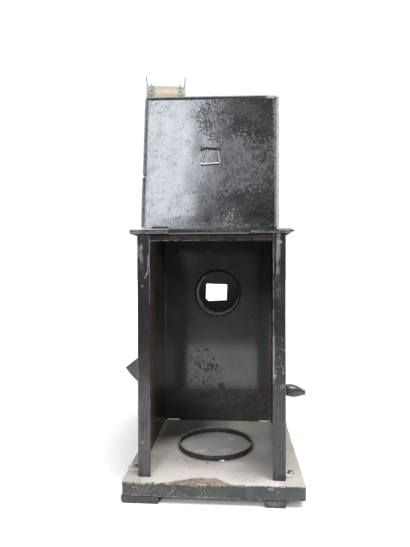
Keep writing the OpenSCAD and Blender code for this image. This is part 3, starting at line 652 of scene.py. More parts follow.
                # painted highlight: broken pale lines along the flange's inner edge
                inner_edge_highlight = (x - 44.3).abs().step(0.5, 0.1) * z.step(95, 112) * (hair * 0.5 + q["mid"] * 0.6).step(0.44, 0.60) * 0.4
                inner_edge_highlight = inner_edge_highlight.max((x - 44.4).abs().step(0.9, 0.3) * z.step(66, 76) * z.step(106, 100) * (streak * 0.6 + q["mid"] * 0.5).step(0.42, 0.56) * 0.55)
            pale = (m1.max(s).max(inner_edge_highlight)) * face * (ny * -1.0).step(0.4, 0.8)
            edge = wear.step(0.5, 0.8) * (q["mid"] * 0.5 + streak * 0.5).step(0.46, 0.58) * z.step(30, 80)
            pale = pale.max(edge * 0.35)
            # the lower part of the flange is lighter slate grey
            lower_grey = face * (z + (patch - 0.5) * 30).step(82, 40) * (streak * 0.7 + q["mid"] * 0.35 + q["fine"] * 0.1).step(0.44, 0.68)
            col = m.mix(lower_grey * 0.6, col, (0.098, 0.101, 0.105) if side < 0 else (0.062, 0.063, 0.066))
            thin = face * (hair * 0.6 + q["fine"] * 0.4).step(0.50, 0.62) * (z.step(95, 50) * 0.22 + 0.14)
            col = m.mix(thin, col, (0.085, 0.085, 0.088))
            col = m.mix(pale, col, (0.36, 0.35, 0.33))
            # rust on the inside, strongest near the open rear
            rp = m.noise(11, 51 + side, 4, 0.66, stretch=(1, 1, 2.2))
            band = (y + (patch - 0.5) * 26).step(82, 34)
            blot = m.noise(3.2, 55 + side, 4, 0.72)
            rusty = inner * (band * 0.95 + 0.05) * (z.step(190, 70) * 0.6 + 0.4) * (rp * 0.65 + blot * 0.45 + band * 0.10 + z.step(130, 60) * 0.05).step(0.44, 0.72)
            col = m.mix(rusty, col, m.mix((q["fine"] * 0.35 + blot * 0.65).step(0.42, 0.60), (0.050, 0.034, 0.025), (0.235, 0.145, 0.092)))
            flake = (blot * 0.5 + q["mid"] * 0.5).step(0.55, 0.62) * rusty.step(0.2, 0.6)
            col = m.mix(flake * 0.55, col, (0.026, 0.022, 0.020))
            # painted shade: near black at the foot of the inside, deep in the lamphouse
            foot = inner * (z + (patch - 0.5) * 20).step(46, 12) * y.step(66, 84)
            col = m.mix(foot * 0.75, col, (0.010, 0.009, 0.008))
            ro = ro + pale * 0.2 + rusty * 0.3
            return col, ro, h - pale * 0.4
        return f

    M["side_left"] = painted_iron("iron_left", 11, tone=0.017, rough=0.25, specks=0.8, rust=0.10, extra=walls(-1))
    M["side_right"] = painted_iron("iron_right", 12, tone=0.017, rough=0.25, specks=0.9, rust=0.12, extra=walls(1))

    def front(m, col, ro, h, q):
        x, y, z = m.xyz()
        ny = m.normal()[1]
        rear = (ny * -1.0).step(0.2, 0.6)
        # rough, burnt blotches that don't shine, thickest at the lower left of the bright patch
        jig = m.noise(2.1, 61, 3, 0.72)
        wide = m.noise(9, 62, 2)
        area = m.blob(x + (wide - 0.5) * 22, z + (wide - 0.5) * 14, -11, 54, 17, 21, 1.0).max(m.blob(x, z + (wide - 0.5) * 8, -13, 44, 13, 7, 0.9))
        mot = m.noise(3.4, 64, 3, 0.7, stretch=(1.6, 1, 1))
        spot = (jig * 0.45 + mot * 0.45 + q["fine"] * 0.1 + area * 0.085 + (wide - 0.5) * 0.14).step(0.59, 0.66) * z.step(112, 88)
        d, c = m.spots(8.5, 63)
        spot = spot.max((d + (jig - 0.5) * 0.3).step(0.075, 0.04) * z.step(112, 88) * 0.8)
        d2, c2 = m.spots(4.6, 67)
        near = m.blob(x + (wide - 0.5) * 20, z, -8, 56, 30, 24, 0.8)
        spot = spot.max((d2 + (jig - 0.5) * 0.35).step(0.17, 0.11) * near * 0.9)
        col = m.mix(spot * 0.8, col, (0.020, 0.017, 0.015))
        # painted reflection: the right part of the wall lighter bluish grey, fading out towards the top
        rim = (x + (mot - 0.5) * 5).step(34, 47) * (z + (wide - 0.5) * 20).step(128, 100) * rear
        col = m.mix(rim * 0.7, col, (0.046, 0.049, 0.052))
        bend = (x + (q["mid"] - 0.5) * 1.2).step(49.0, 50.0) * z.step(118, 92) * rear
        col = m.mix(bend * 0.75, col, m.mix(mot.step(0.40, 0.60), (0.12, 0.092, 0.07), (0.25, 0.19, 0.14)))
        ru = m.blob(x + (q["mid"] - 0.5) * 6, z, 3.5, 33.8, 3.6, 4.2, 0.7)
        ru = ru.max(m.blob(x + (q["mid"] - 0.5) * 3, z, 13.7, 18.7, 2.2, 2.2, 0.7))
        ru = ru.max(m.blob(x, z, 42.6, 11.4, 1.2, 2.0, 0.7))
        ru = ru.max(m.blob(x + (q["mid"] - 0.5) * 4, z, 33.4, 95, 2.4, 8.5, 0.8) * 0.5)
        ru = ru.max(m.blob(x, z + (q["mid"] - 0.5) * 4, -8.5, 167, 12, 4.2, 0.8) * 0.45)
        ru = ru.max(m.blob(x, z, -26, 40, 1.6, 1.6, 0.7) * 0.6)
        ru = ru.max(m.blob(x + (q["mid"] - 0.5) * 2, z, 50.6, 46, 1.9, 34, 0.5) * 0.9)
        ru = (ru * 1.2 + (mot - 0.5) * 1.1 + (q["fine"] - 0.5) * 0.5 - 0.15).step(0.25, 0.75) * ru.step(0.02, 0.2) * rear
        # a thin scatter of rust low down on the wall
        sc = (mot * 0.5 + q["mid"] * 0.5 + x.step(-30, 30) * 0.02).step(0.57, 0.68) * z.step(44, 26) * rear * 0.6
        ru = ru.max(sc)
        col = m.mix(ru * 0.8, col, (0.135, 0.078, 0.047))
        # the bend at the left corner is worn to a thin pale line
        ln = (x + 51.7).abs().step(0.7, 0.2) * z.step(30, 44) * z.step(150, 138) * rear * (q["mid"] * 0.6 + wide * 0.5).step(0.40, 0.52)
        col = m.mix(ln * 0.6, col, (0.22, 0.215, 0.21))
        low = (z + (wide - 0.5) * 16).step(40, 24) * ((mot * 0.5 + jig * 0.5).step(0.42, 0.58) * 0.5 + 0.5)
        gr = (jig * 0.5 + q["fine"] * 0.5).step(0.56, 0.66) * 0.35
        m.set("Coat Weight", (spot.max(ru).max(ln).max(low * 0.85).max(gr)).inv() * 0.97)
        col = m.mix(low * gr * 1.2, col, (0.06, 0.055, 0.048))
        soot = z.step(46, 8) * 0.5
        ro = ro + spot * 0.45 + ru * 0.4 + soot * 0.12 + (m.noise(9, 66, 3) - 0.5) * 0.06
        col = m.mix(m.blob(x + (wide - 0.5) * 20, z, 30, 24, 34, 26, 1.0) * 0.7, col, m.mix(mot.step(0.35, 0.65), (0.040, 0.038, 0.035), (0.095, 0.088, 0.076)))
        col = m.mix(0.25, col, (0.030, 0.031, 0.022))
        return col, ro, h - spot * 0.5

    M["front"] = painted_iron("iron_front", 13, tone=0.017, rough=0.40, specks=0.35, rust=0.12, grey=0.003, extra=front, spec=0.32, peel=0.7)
    M["front"].b.inputs["Coat Roughness"].default_value = 0.115
    M["front"].b.inputs["Coat IOR"].default_value = 1.58

    def lintel(m, col, ro, h, q):
        x, y, z = m.xyz()
        p = m.blob(x, z, -25.5, 172, 3.2, 2.2, 0.8).max(m.blob(x, z, -12.2, 172, 5.0, 2.0, 0.8)).max(m.blob(x, z, 38, 172, 9, 2.6, 0.8))
        p = p * (q["mid"] * 0.6 + q["fine"] * 0.5).step(0.42, 0.58)
        col = m.mix(p * 0.6, col, (0.070, 0.052, 0.042))
        worn = m.noise(1.6, 72, 3, 0.7, stretch=(3, 1, 1)).step(0.42, 0.60) * x.step(-40, -32) * x.step(40, 20) * z.step(175.5, 173.5)
        col = m.mix(worn * 0.55, col, (0.062, 0.053, 0.046))
        e = z.step(170.75, 170.3) * m.noise(3.5, 71, 3).step(0.40, 0.52) * (x.step(10, -30) * 0.7 + 0.3)
        col = m.mix(e * 0.55, col, (0.30, 0.29, 0.28))
        return col, ro + p * 0.3, h

    M["lintel"] = painted_iron("iron_lintel", 14, tone=0.008, rough=0.45, specks=0.35, rust=0.25, spec=0.2, extra=lintel)

    def roof(m, col, ro, h, q):
        x, y, z = m.xyz()
        nz = m.normal()[2]
        lane = y.step(1.2, 0.6)
        w = lane * (m.noise(2.2, 73, 3, 0.6, stretch=(4, 1, 1)) * 0.7 + q["fine"] * 0.3).step(0.38, 0.58)
        col = m.mix(w * 0.8, col, (0.25, 0.235, 0.22))
        st = nz.step(0.4, 0.8) * q["big"].step(0.4, 0.7) * 0.25
        col = m.mix(st, col, (0.10, 0.09, 0.08))
        return col, ro + w * 0.15, h

    M["roof"] = painted_iron("iron_roof", 15, tone=0.016, rough=0.42, specks=1.0, rust=0.5, extra=roof)

    # ---- lid: glossy, crazed and flecked
    def lid(m, col, ro, h, q):
        x, y, z = m.xyz()
        ny = m.normal()[1]
        zl = z - HINGE[2]
        rear = (ny * -1.0).step(0.2, 0.6)
        tiny = m.noise(0.7, 81, 2, 0.7)
        med = m.noise(2.2, 82, 3, 0.7)
        cl = m.noise(15, 83, 3, 0.6)
        grain = m.noise(1.25, 84, 3, 0.75)
        # where the lacquer has gone dull: a dense patch over the pull, a wide haze right of it, traces elsewhere
        jx, jz = x + (cl - 0.5) * 16, zl + (cl - 0.5) * 14
        k = m.blob(jx, jz, 1.0, 80, 12, 17, 0.7) * 0.055
        k = k.max(m.blob(jx, jz, 25, 49, 26, 23, 0.8) * 0.105)
        k = k.max(m.blob(jx, jz, 5, 33, 15, 13, 0.9) * 0.10)
        k = k.max(m.blob(jx, jz, 14, 11, 11, 7, 0.9) * 0.06)
        k = k + zl.step(5, 1) * 0.02
        k = k - m.blob(x, zl, 30, 80, 25, 17, 0.6) * 0.025 - m.blob(x + zl * 0.25, zl, 30, 16, 28, 12, 0.8) * 0.05
        wear = m.attr("wear")
        bead = wear.step(0.04, 0.12)
        plain = bead.inv()
        dull = (grain * 0.30 + med * 0.55 + tiny * 0.15 + k + (cl - 0.5) * 0.12).step(0.55, 0.72) * plain
        over = m.blob(jx, jz, 1.5, 79, 14, 19, 0.6)
        pits = (grain * 0.7 + tiny * 0.3 + (cl - 0.5) * 0.10 + k * 0.35 + over * 0.085).step(0.585, 0.635) * plain * (x.step(-16, -2) * 0.84 + 0.16)
        fl = dull.max(pits)
        col = m.mix(dull * 0.75, col, m.mix((tiny * 0.5 + grain * 0.5).step(0.38, 0.62), (0.020, 0.022, 0.027), (0.088, 0.093, 0.107)))
        # in the patch over the pull the pits are black and the crests between them grey
        col = m.mix(pits * 0.8, col, m.mix(over, (0.085, 0.086, 0.092), m.mix(med.step(0.44, 0.60), (0.006, 0.006, 0.007), (0.17, 0.175, 0.185))))
        # pale scratches near the foot
        s = m.line(x + (med - 0.5) * 6, zl, (9.5, 3), (14, 13), 0.8).max(m.line(x + (med - 0.5) * 8, zl, (14, 3), (17, 16), 0.6)) * 0.7
        s = s * (med * 0.5 + tiny * 0.5).step(0.46, 0.56)
        lowscuff = zl.step(8, 3) * m.blob(x, zl, 8, 2, 26, 7, 0.9) * (tiny * 0.5 + med * 0.6).step(0.54, 0.64)
        side = (x.abs() + zl * 0.01).step(44.6, 46.2) * (med * 0.6 + tiny * 0.4).step(0.42, 0.54) * 0.4
        pale = s.max(lowscuff * 0.3).max(side)
        col = m.mix(pale * rear, col, (0.30, 0.30, 0.29))
        # painted highlight: the wired edge painted pale grey along its outer side, brightest on the right
        nrm = m.normal()
        highlight_breakup = (med * 0.5 + tiny * 0.5).step(0.34, 0.50) * 0.35 + 0.65
        bead_highlight = (nrm[0] * -1.0).step(0.05, 0.45) * x.step(-38, -42) * 0.42
        bead_highlight = bead_highlight.max((nrm[0] - 0.05).abs().step(0.50, 0.25) * x.step(38, 42) * rear * 0.85)
        bead_highlight = bead_highlight.max(nrm[2].step(-0.05, 0.4) * x.abs().step(45.8, 44.6) * zl.step(90, 94) * 0.42)
        # the lid's own knuckle: dull on top, with a painted highlight: a thin bright line along its lower side
        lip = (zl + 1.55).abs().step(0.45, 0.15) * rear * x.step(-29.6, -29.0) * x.step(28.2, 27.6)
        col = m.mix((bead_highlight * highlight_breakup).max(lip * 0.9) * bead, col, (0.52, 0.52, 0.51))
        # painted shadow: a near black strip where the gap between the lid's foot and its knuckle lies in shade
        gap_shadow = x.step(-41.6, -41.0) * x.step(-29.0, -29.8) * zl.step(3.5, 2.9) * plain
        col = m.mix(gap_shadow, col, (0.004, 0.004, 0.004))
        ro = ro + gap_shadow * 0.4
        cloud = m.noise(5.5, 88, 4, 0.7, stretch=(1.5, 1, 1)).step(0.46, 0.70) * x.step(4, -8) * plain
        ro = ro + cloud * 0.06 + fl * 0.40 + pits * over * 0.45 + pale * 0.35 + bead * 0.22 + (cl - 0.5) * 0.04
        bumpy = m.blob(jx, jz, 3, 79, 11, 17, 0.8).max(m.blob(jx, jz, 10, 10, 9, 8, 0.9) * 0.8)
        return col, ro, h * 0.5 + fl * 0.5 + med * (bumpy * 2.0 + 0.45) + grain * (bumpy * 1.0 + 0.35)

    M["lid"] = painted_iron("iron_lid", 16, tone=0.010, rough=0.12, specks=0.10, rust=0.03, extra=lid, peel=0.55)

    def tube_paint(m, col, ro, h, q):
        x, y, z = m.xyz()
        rr = (x * x + (z - 126.1) * (z - 126.1)).pow(0.5)
        # painted highlights: two thin pale rings on the rim, stronger towards the lower right
        rim_highlight = (rr - 20.95).abs().step(0.35, 0.1).max((rr - 22.55).abs().step(0.3, 0.08)) * y.step(121.6, 121.0)
        side = ((x - z + 126.1) * 0.022 + 0.45).max(0.12)
        col = m.mix(rim_highlight * side * (q["mid"] * 0.6 + q["fine"] * 0.4).step(0.36, 0.52), col, (0.17, 0.16, 0.15))
        return col, ro, h

    M["tube"] = painted_iron("iron_tube", 17, tone=0.011, rough=0.50, specks=0.15, rust=0.06, spec=0.18, extra=tube_paint)
    def ring(m, col, ro, h, q):
        x, y, z = m.xyz()
        nz = m.normal()[2]
        t = (q["mid"] * 0.55 + q["fine"] * 0.45)
        col = m.mix(t.step(0.46, 0.62) * 0.6, col, (0.075, 0.058, 0.045))
        # painted highlight: the hoop's upward-facing top edge lighter grey
        top = nz.step(0.35, 0.8) * (t + 0.06).step(0.40, 0.56)
        col = m.mix(top * 0.8, col, (0.22, 0.205, 0.19))
        return col, ro, h

    M["ring"] = painted_iron("iron_ring", 18, tone=0.016, rough=0.42, specks=0.6, rust=1.0, extra=ring)
    M["wire"] = painted_iron("iron_wire", 19, tone=0.012, rough=0.36, specks=0.5, rust=0.3)
    def pull(m, col, ro, h, q):
        x, y, z = m.xyz()
        nx, ny, nz = m.normal()
        zl = z - HINGE[2]
        # painted highlight: the right side of each leg and the front of the bottom bar painted bright tin, the left
        # side kept black
        leg_highlight = nx.step(0.05, 0.4) * zl.step(58.2, 57.2)
        bar = (ny * -1.0).step(0.55, 0.8) * zl.step(49.0, 48.3)
        b = leg_highlight.max(bar) * (q["mid"] * 0.6 + q["fine"] * 0.4).step(0.30, 0.40)
        col = m.mix(b, col, (0.66, 0.66, 0.65))
        return col, ro + b * 0.25, h

    M["pull"] = painted_iron("iron_pull", 20, tone=0.010, rough=0.25, specks=0.3, rust=0.1, extra=pull)
    M["blade"] = painted_iron("iron_blade", 21, tone=0.05, rough=0.45, specks=1.0, rust=0.4, grey=0.03, peel=2.0)
    M["crank"] = painted_iron("iron_crank", 22, tone=0.02, rough=0.28, specks=0.8, rust=0.4)
    M["gate"] = painted_iron("iron_gate", 23, tone=0.014, rough=0.35, specks=0.5, rust=0.2)
    M["plate"] = painted_iron("iron_mechanism", 24, tone=0.02, rough=0.3, specks=0.8, rust=0.35)

    m = Mat("lug_coat")
    fine = m.noise(0.9, 91, 2, 0.6)
    mid = m.noise(3, 92, 3, 0.6)
    x, y, z = m.xyz()
    col = m.mix(mid.step(0.4, 0.65), (0.40, 0.39, 0.33), (0.50, 0.485, 0.42))
    col = m.mix(x.step(0, 20) * 0.85, col, (0.47, 0.445, 0.42))
    col = m.mix((mid * 0.5 + fine * 0.5).step(0.56, 0.68) * 0.7, col, (0.2, 0.15, 0.1))
    m.set("Base Color", col)
    m.set("Roughness", 0.7)
    m.bump(fine, 0.0002, 0.6)
    M["lug"] = m

    m = Mat("crumb")
    fine = m.noise(0.6, 95, 2, 0.6)
    m.set("Base Color", m.mix(fine.step(0.4, 0.7), (0.50, 0.49, 0.45), (0.82, 0.81, 0.78)))
    m.set("Roughness", 0.9)
    m.bump(fine, 0.0003, 0.8)
    M["crumb"] = m

    M["steel"] = metal("worn_steel", 101, (0.40, 0.39, 0.375), 0.34, (0.13, 0.11, 0.09), 0.6)
    M["screw"] = metal("screw_steel", 102, (0.26, 0.25, 0.24), 0.5, (0.12, 0.105, 0.09), 0.8, dirt=0.4)
    M["bright"] = metal("shaft_steel", 103, (0.52, 0.51, 0.49), 0.25, (0.2, 0.18, 0.16), 0.45, brushed=(12, 1, 1))
    M["brass"] = metal("brass", 104, (0.62, 0.43, 0.17), 0.3, (0.24, 0.15, 0.07), 0.6)
    M["lens_brass"] = metal("lens_brass", 105, (0.68, 0.47, 0.19), 0.22, (0.3, 0.19, 0.08), 0.5)
    M["cheek"] = metal("cheek_sheet", 106, (0.125, 0.125, 0.122), 0.5, (0.07, 0.068, 0.064), 0.6)

    m = Mat("glass", rough=0.0, color=(1, 1, 1), ior=1.5)
    m.b.inputs["Transmission Weight"].default_value = 1.0
    sm = m.noise(9, 110, 2)
    m.set("Roughness", sm.step(0.45, 0.8) * 0.02)
    M["glass"] = m

    # ---- grip: turned wood under worn black stain
    m = Mat("grip_stain")
    g = m.noise(0.8, 120, 3, 0.6, stretch=(10, 1, 1))
    mid = m.noise(3.5, 121, 3, 0.6)
    col = m.mix(g.step(0.35, 0.7), (0.034, 0.032, 0.031), (0.070, 0.067, 0.065))
    col = m.mix((mid * 0.6 + g * 0.5).step(0.66, 0.78) * 0.5, col, (0.09, 0.06, 0.04))
    m.set("Base Color", col)
    m.set("Roughness", g * 0.10 + 0.24)
    m.b.inputs["Specular IOR Level"].default_value = 0.7
    m.bump(g, 0.00008, 0.5)
    M["grip"] = m

    # ---- film: amber picture band between pale margins
    m = Mat("film_base", rough=0.3)
    x, y, z = m.xyz()
    # across the film, along the turned axle
    band = ((x + 27.7) * 0.988 + (y - 135.0) * 0.1547 + 24.7).abs().step(11.2, 10.2)
    n = m.noise(6, 130, 3, 0.6)
    fine = m.noise(0.8, 131, 2)
    amber = m.mix(n.step(0.35, 0.7), (0.36, 0.295, 0.205), (0.37, 0.35, 0.265))
    pale = m.mix(n.step(0.4, 0.65), (0.165, 0.17, 0.145), (0.23, 0.23, 0.205))
    film = m.mix(band, pale, amber)
    # the turn that lies on top is grey with dust
    film = m.mix(m.normal()[2].step(0.55, 0.92) * 0.7, film, (0.16, 0.156, 0.14))
    m.set("Base Color", film)
    m.set("Roughness", fine * 0.15 + 0.25)
    m.bump(fine, 0.00003, 0.4)
    M["film"] = m

    m = Mat("spool_wood")
    g = m.noise(1.0, 140, 3, 0.6, stretch=(12, 1, 1))
    col = m.mix(g.step(0.35, 0.7), (0.42, 0.36, 0.27), (0.58, 0.52, 0.42))
    m.set("Base Color", col)
    m.set("Roughness", 0.55)
    m.bump(g, 0.0001, 0.5)
    M["spool_wood"] = m

    m = Mat("roller_wood")
    g = m.noise(0.9, 145, 3, 0.6, stretch=(12, 1, 1))
    m.set("Base Color", m.mix(g.step(0.35, 0.7), (0.16, 0.075, 0.035), (0.30, 0.16, 0.08)))
    m.set("Roughness", 0.5)
    m.bump(g, 0.0001, 0.5)
    M["roller_wood"] = m

    # ---- floor: plain paper that stays white into the distance
    m = Mat("floor_paper", rough=0.9, color=(0.9, 0.9, 0.9))
    m.b.inputs["Specular IOR Level"].default_value = 0.1
    x, y, z = m.xyz()
    n = m.noise(60, 150, 2)
    m.set("Base Color", m.mix(n, (0.90, 0.897, 0.885), (0.915, 0.911, 0.90)))
    m.b.inputs["Emission Color"].default_value = (1, 1, 1, 1)
    m.set("Emission Strength", y.step(320, 900).max(x.abs().step(500, 1200)))
    M["floor"] = m
    return M


M = make_materials()


# ================================================================ CAD nodes that stay
KEEP = {
    "foot": ("feet_left", "feet_right"),
    "front": ("lamphouse_front",),
    "lintel": ("lintel_strip",),
    "screw": ("lamphouse_screws", "mechanism_screws"),
    "roof": ("top_plate", "lamphouse_rivets"),
    "wire": ("hinge_wire", "lid_pull_eyes"),
    "tube": ("condenser_tube", "condenser_flange"),
    "plate": ("mechanism_plate_left", "mechanism_plate_right", "swivel_socket", "shutter_bearing", "lens_holder", "swivel_post"),
    "gate": ("gate_plate",),
    "steel": ("pressure_frame",),
    "bright": ("pressure_pins", "crank_shaft", "crank_collar", "crank_nut", "crank_handle_pin", "film_sprocket", "beater_shaft",
               "beater_pin", "shutter_shaft", "shutter_nut", "spool_axle", "guide_roller_pin"),
    "brass": ("guide_roller", "crank_bushes", "beater_bushes", "drive_gear", "beater_pinion", "beater_cheeks", "bevel_gear_drive",
              "bevel_gear_shutter", "shutter_hub"),
    "lens_brass": ("lens_barrel", "lens_knurl_ring"),
    "glass": ("lens_glass_front", "lens_glass_rear"),
    "crank": ("crank_arm",),
    "roller_wood": ("beater_roller",),
    "blade": ("shutter_blade",),
    "spool_wood": ("spool_core",),
    "cheek": ("spool_cheek_left", "spool_cheek_right"),
    "film": ("film_wrap",),
    "board": ("base_board",), "side_left": ("lamphouse_side_left",), "side_right": ("lamphouse_side_right",), "lid": ("lid",),
    "pull": ("lid_pull",), "ring": ("lamp_ring",), "grip": ("crank_grip",),
}
BEVEL = {"feet_left": 0.5, "feet_right": 0.5, "lens_holder": 0.4, "mechanism_plate_left": 0.35, "mechanism_plate_right": 0.35,
         "swivel_socket": 0.5, "shutter_bearing": 0.4, "crank_arm": 0.5, "crank_nut": 0.25, "shutter_nut": 0.25, "top_plate": 0.2,
         "crank_collar": 0.3, "lamphouse_front": 0.15, "lintel_strip": 0.15, "pressure_frame": 0.15, "gate_plate": 0.2,
         "swivel_post": 0.3, "lens_barrel": 0.3, "lens_knurl_ring": 0.15, "shutter_hub": 0.3, "guide_roller": 0.25,
         "spool_core": 0.1, "condenser_flange": 0.2, "beater_cheeks": 0.25, "crank_bushes": 0.2, "beater_bushes": 0.2}


def dress_nodes():
    for key, names in KEEP.items():
        for n in names:
            ob = N[n]
            ob.data.materials.clear()
            ob.data.materials.append(M[key].m)
            if n in BEVEL:
                w = ob.modifiers.new("weld", "WELD")
                w.merge_threshold = 1e-5
                b = ob.modifiers.new("bevel", "BEVEL")
                b.width = BEVEL[n] / 1000
                b.segments = 2
                b.limit_method = "ANGLE"
                b.angle_limit = math.radians(40)
                b.use_clamp_overlap = True


def make_floor():
    me = bpy.data.meshes.new("floor")
    x0, x1, y0, y1 = -4.0, 4.0, (-390 + SH[1]) / 1000, 6.0
    me.from_pydata([(x0, y0, 0), (x1, y0, 0), (x1, y1, 0), (x0, y1, 0)], [], [(0, 1, 2, 3)])
    me.materials.append(M["floor"].m)
    ob = bpy.data.objects.new("floor", me)
    bpy.context.scene.collection.objects.link(ob)


# ================================================================ pieces
def grid_box(lo, hi, r, step, seed=0, chip=0.0, chip_edges=None):
    """a box with rounded, slightly chipped edges; returns verts, quads and a 0..1 wear value at each vertex"""
    lo, hi = np.array(lo, float), np.array(hi, float)
    axes = []
    for k in range(3):
        near = [0, 0.3 * r, 0.65 * r, r]
        L = hi[k] - lo[k]
        n = max(1, int(round((L - 2 * r) / step[k])))
        mid = list(np.linspace(r, L - r, n + 1))
        axes.append(np.array(near[:-1] + mid + [L - v for v in near[:-1]][::-1]) + lo[k])
    V, F = [], []
    index = {}

    def vert(i, j, k):
        if (i, j, k) not in index:
            index[(i, j, k)] = len(V)
            V.append((axes[0][i], axes[1][j], axes[2][k]))
        return index[(i, j, k)]

    n = [len(a) - 1 for a in axes]
    for a, b, c in ((0, 1, 2), (1, 2, 0), (2, 0, 1)):
        for side in (0, n[c]):
            for i in range(n[a]):
                for j in range(n[b]):
                    q = []
                    for di, dj in ((0, 0), (1, 0), (1, 1), (0, 1)):
                        t = [0, 0, 0]
                        t[a], t[b], t[c] = i + di, j + dj, side
                        q.append(vert(*t))
                    F.append(tuple(q) if side else tuple(reversed(q)))
    V = np.array(V)
    q = np.clip(V, lo + r, hi - r)
    d = V - q
    L = np.linalg.norm(d, axis=1)
    rim = (np.abs(d) > 0.02 * r).sum(axis=1)      # how many faces the point is near: 2 on an edge, 3 at a corner
    nz = L > 1e-9
    V2 = V.copy()
    V2[nz] = q[nz] + d[nz] / L[nz][:, None] * r
    wear = np.zeros(len(V))
    e = rim >= 2
    f1 = fbm(V, 5.0, seed, 3)
    f2 = fbm(V, 1.6, seed + 5, 2)
    w = np.clip(0.5 + 0.55 * f1 + 0.35 * f2, 0, 1)
    wear[e] = w[e]
    if chip:
        amount = np.clip(0.55 * f1 + 0.45 * f2, 0, 1) * chip
        V2[e] -= (d[e] / L[e][:, None]) * amount[e][:, None]
    near = (rim == 1) & (L > 0)
    wear[near] = w[near] * 0.35
    return V2, F, wear


def make_board():
    V, F, wear = grid_box((-63.2, -8.2, -10), (66.2, 202, 0), 0.9, (1.6, 3.0, 1.6), seed=3, chip=0.55)
    # the board's corners rounded in plan
    top = V[:, 2] > -1.0
    V[:, 2] += np.where(top, 0.0, 0.0)
    R = 2.6
    c = np.clip(V[:, :2], (-63.2 + R, -8.2 + R), (66.2 - R, 202 - R))
    d = V[:, :2] - c
    k = (np.abs(d) > 1e-6).all(axis=1)
    V[k, :2] = c[k] + d[k] / np.linalg.norm(d[k], axis=1)[:, None] * np.abs(d[k]).max(axis=1)[:, None]
    ob = piece("base_board_wood", V, F, [M["board"]], "machine", ("base_board",), sharp=60, attrs={"wear": wear})
    fix_normals(ob)


def sweep_z(prof, zs, cap=True):
    """a closed profile of (x, y) points carried up through the heights zs"""
    prof = np.asarray(prof, float)
    m = len(prof)
    V = np.concatenate([np.column_stack((prof, np.full(m, z))) for z in zs])
    F = []
    for i in range(len(zs) - 1):
        for j in range(m):
            j2 = (j + 1) % m
            F.append((i * m + j, i * m + j2, (i + 1) * m + j2, (i + 1) * m + j))
    return V, F, m


def strip_profile(path, t):
    """the outline of a sheet of thickness t whose outer face follows path (x, y points); t goes to the left of the way"""
    path = np.asarray(path, float)
    T = np.gradient(path, axis=0)
    T /= np.linalg.norm(T, axis=1)[:, None]
    nrm = np.column_stack((-T[:, 1], T[:, 0]))
    inner = path + nrm * t
    return np.concatenate((path, inner[::-1]))


def arc(cx, cy, r, a0, a1, n):
    return [(cx + r * math.cos(math.radians(a0 + (a1 - a0) * i / n)), cy + r * math.sin(math.radians(a0 + (a1 - a0) * i / n))) for i in range(n + 1)]


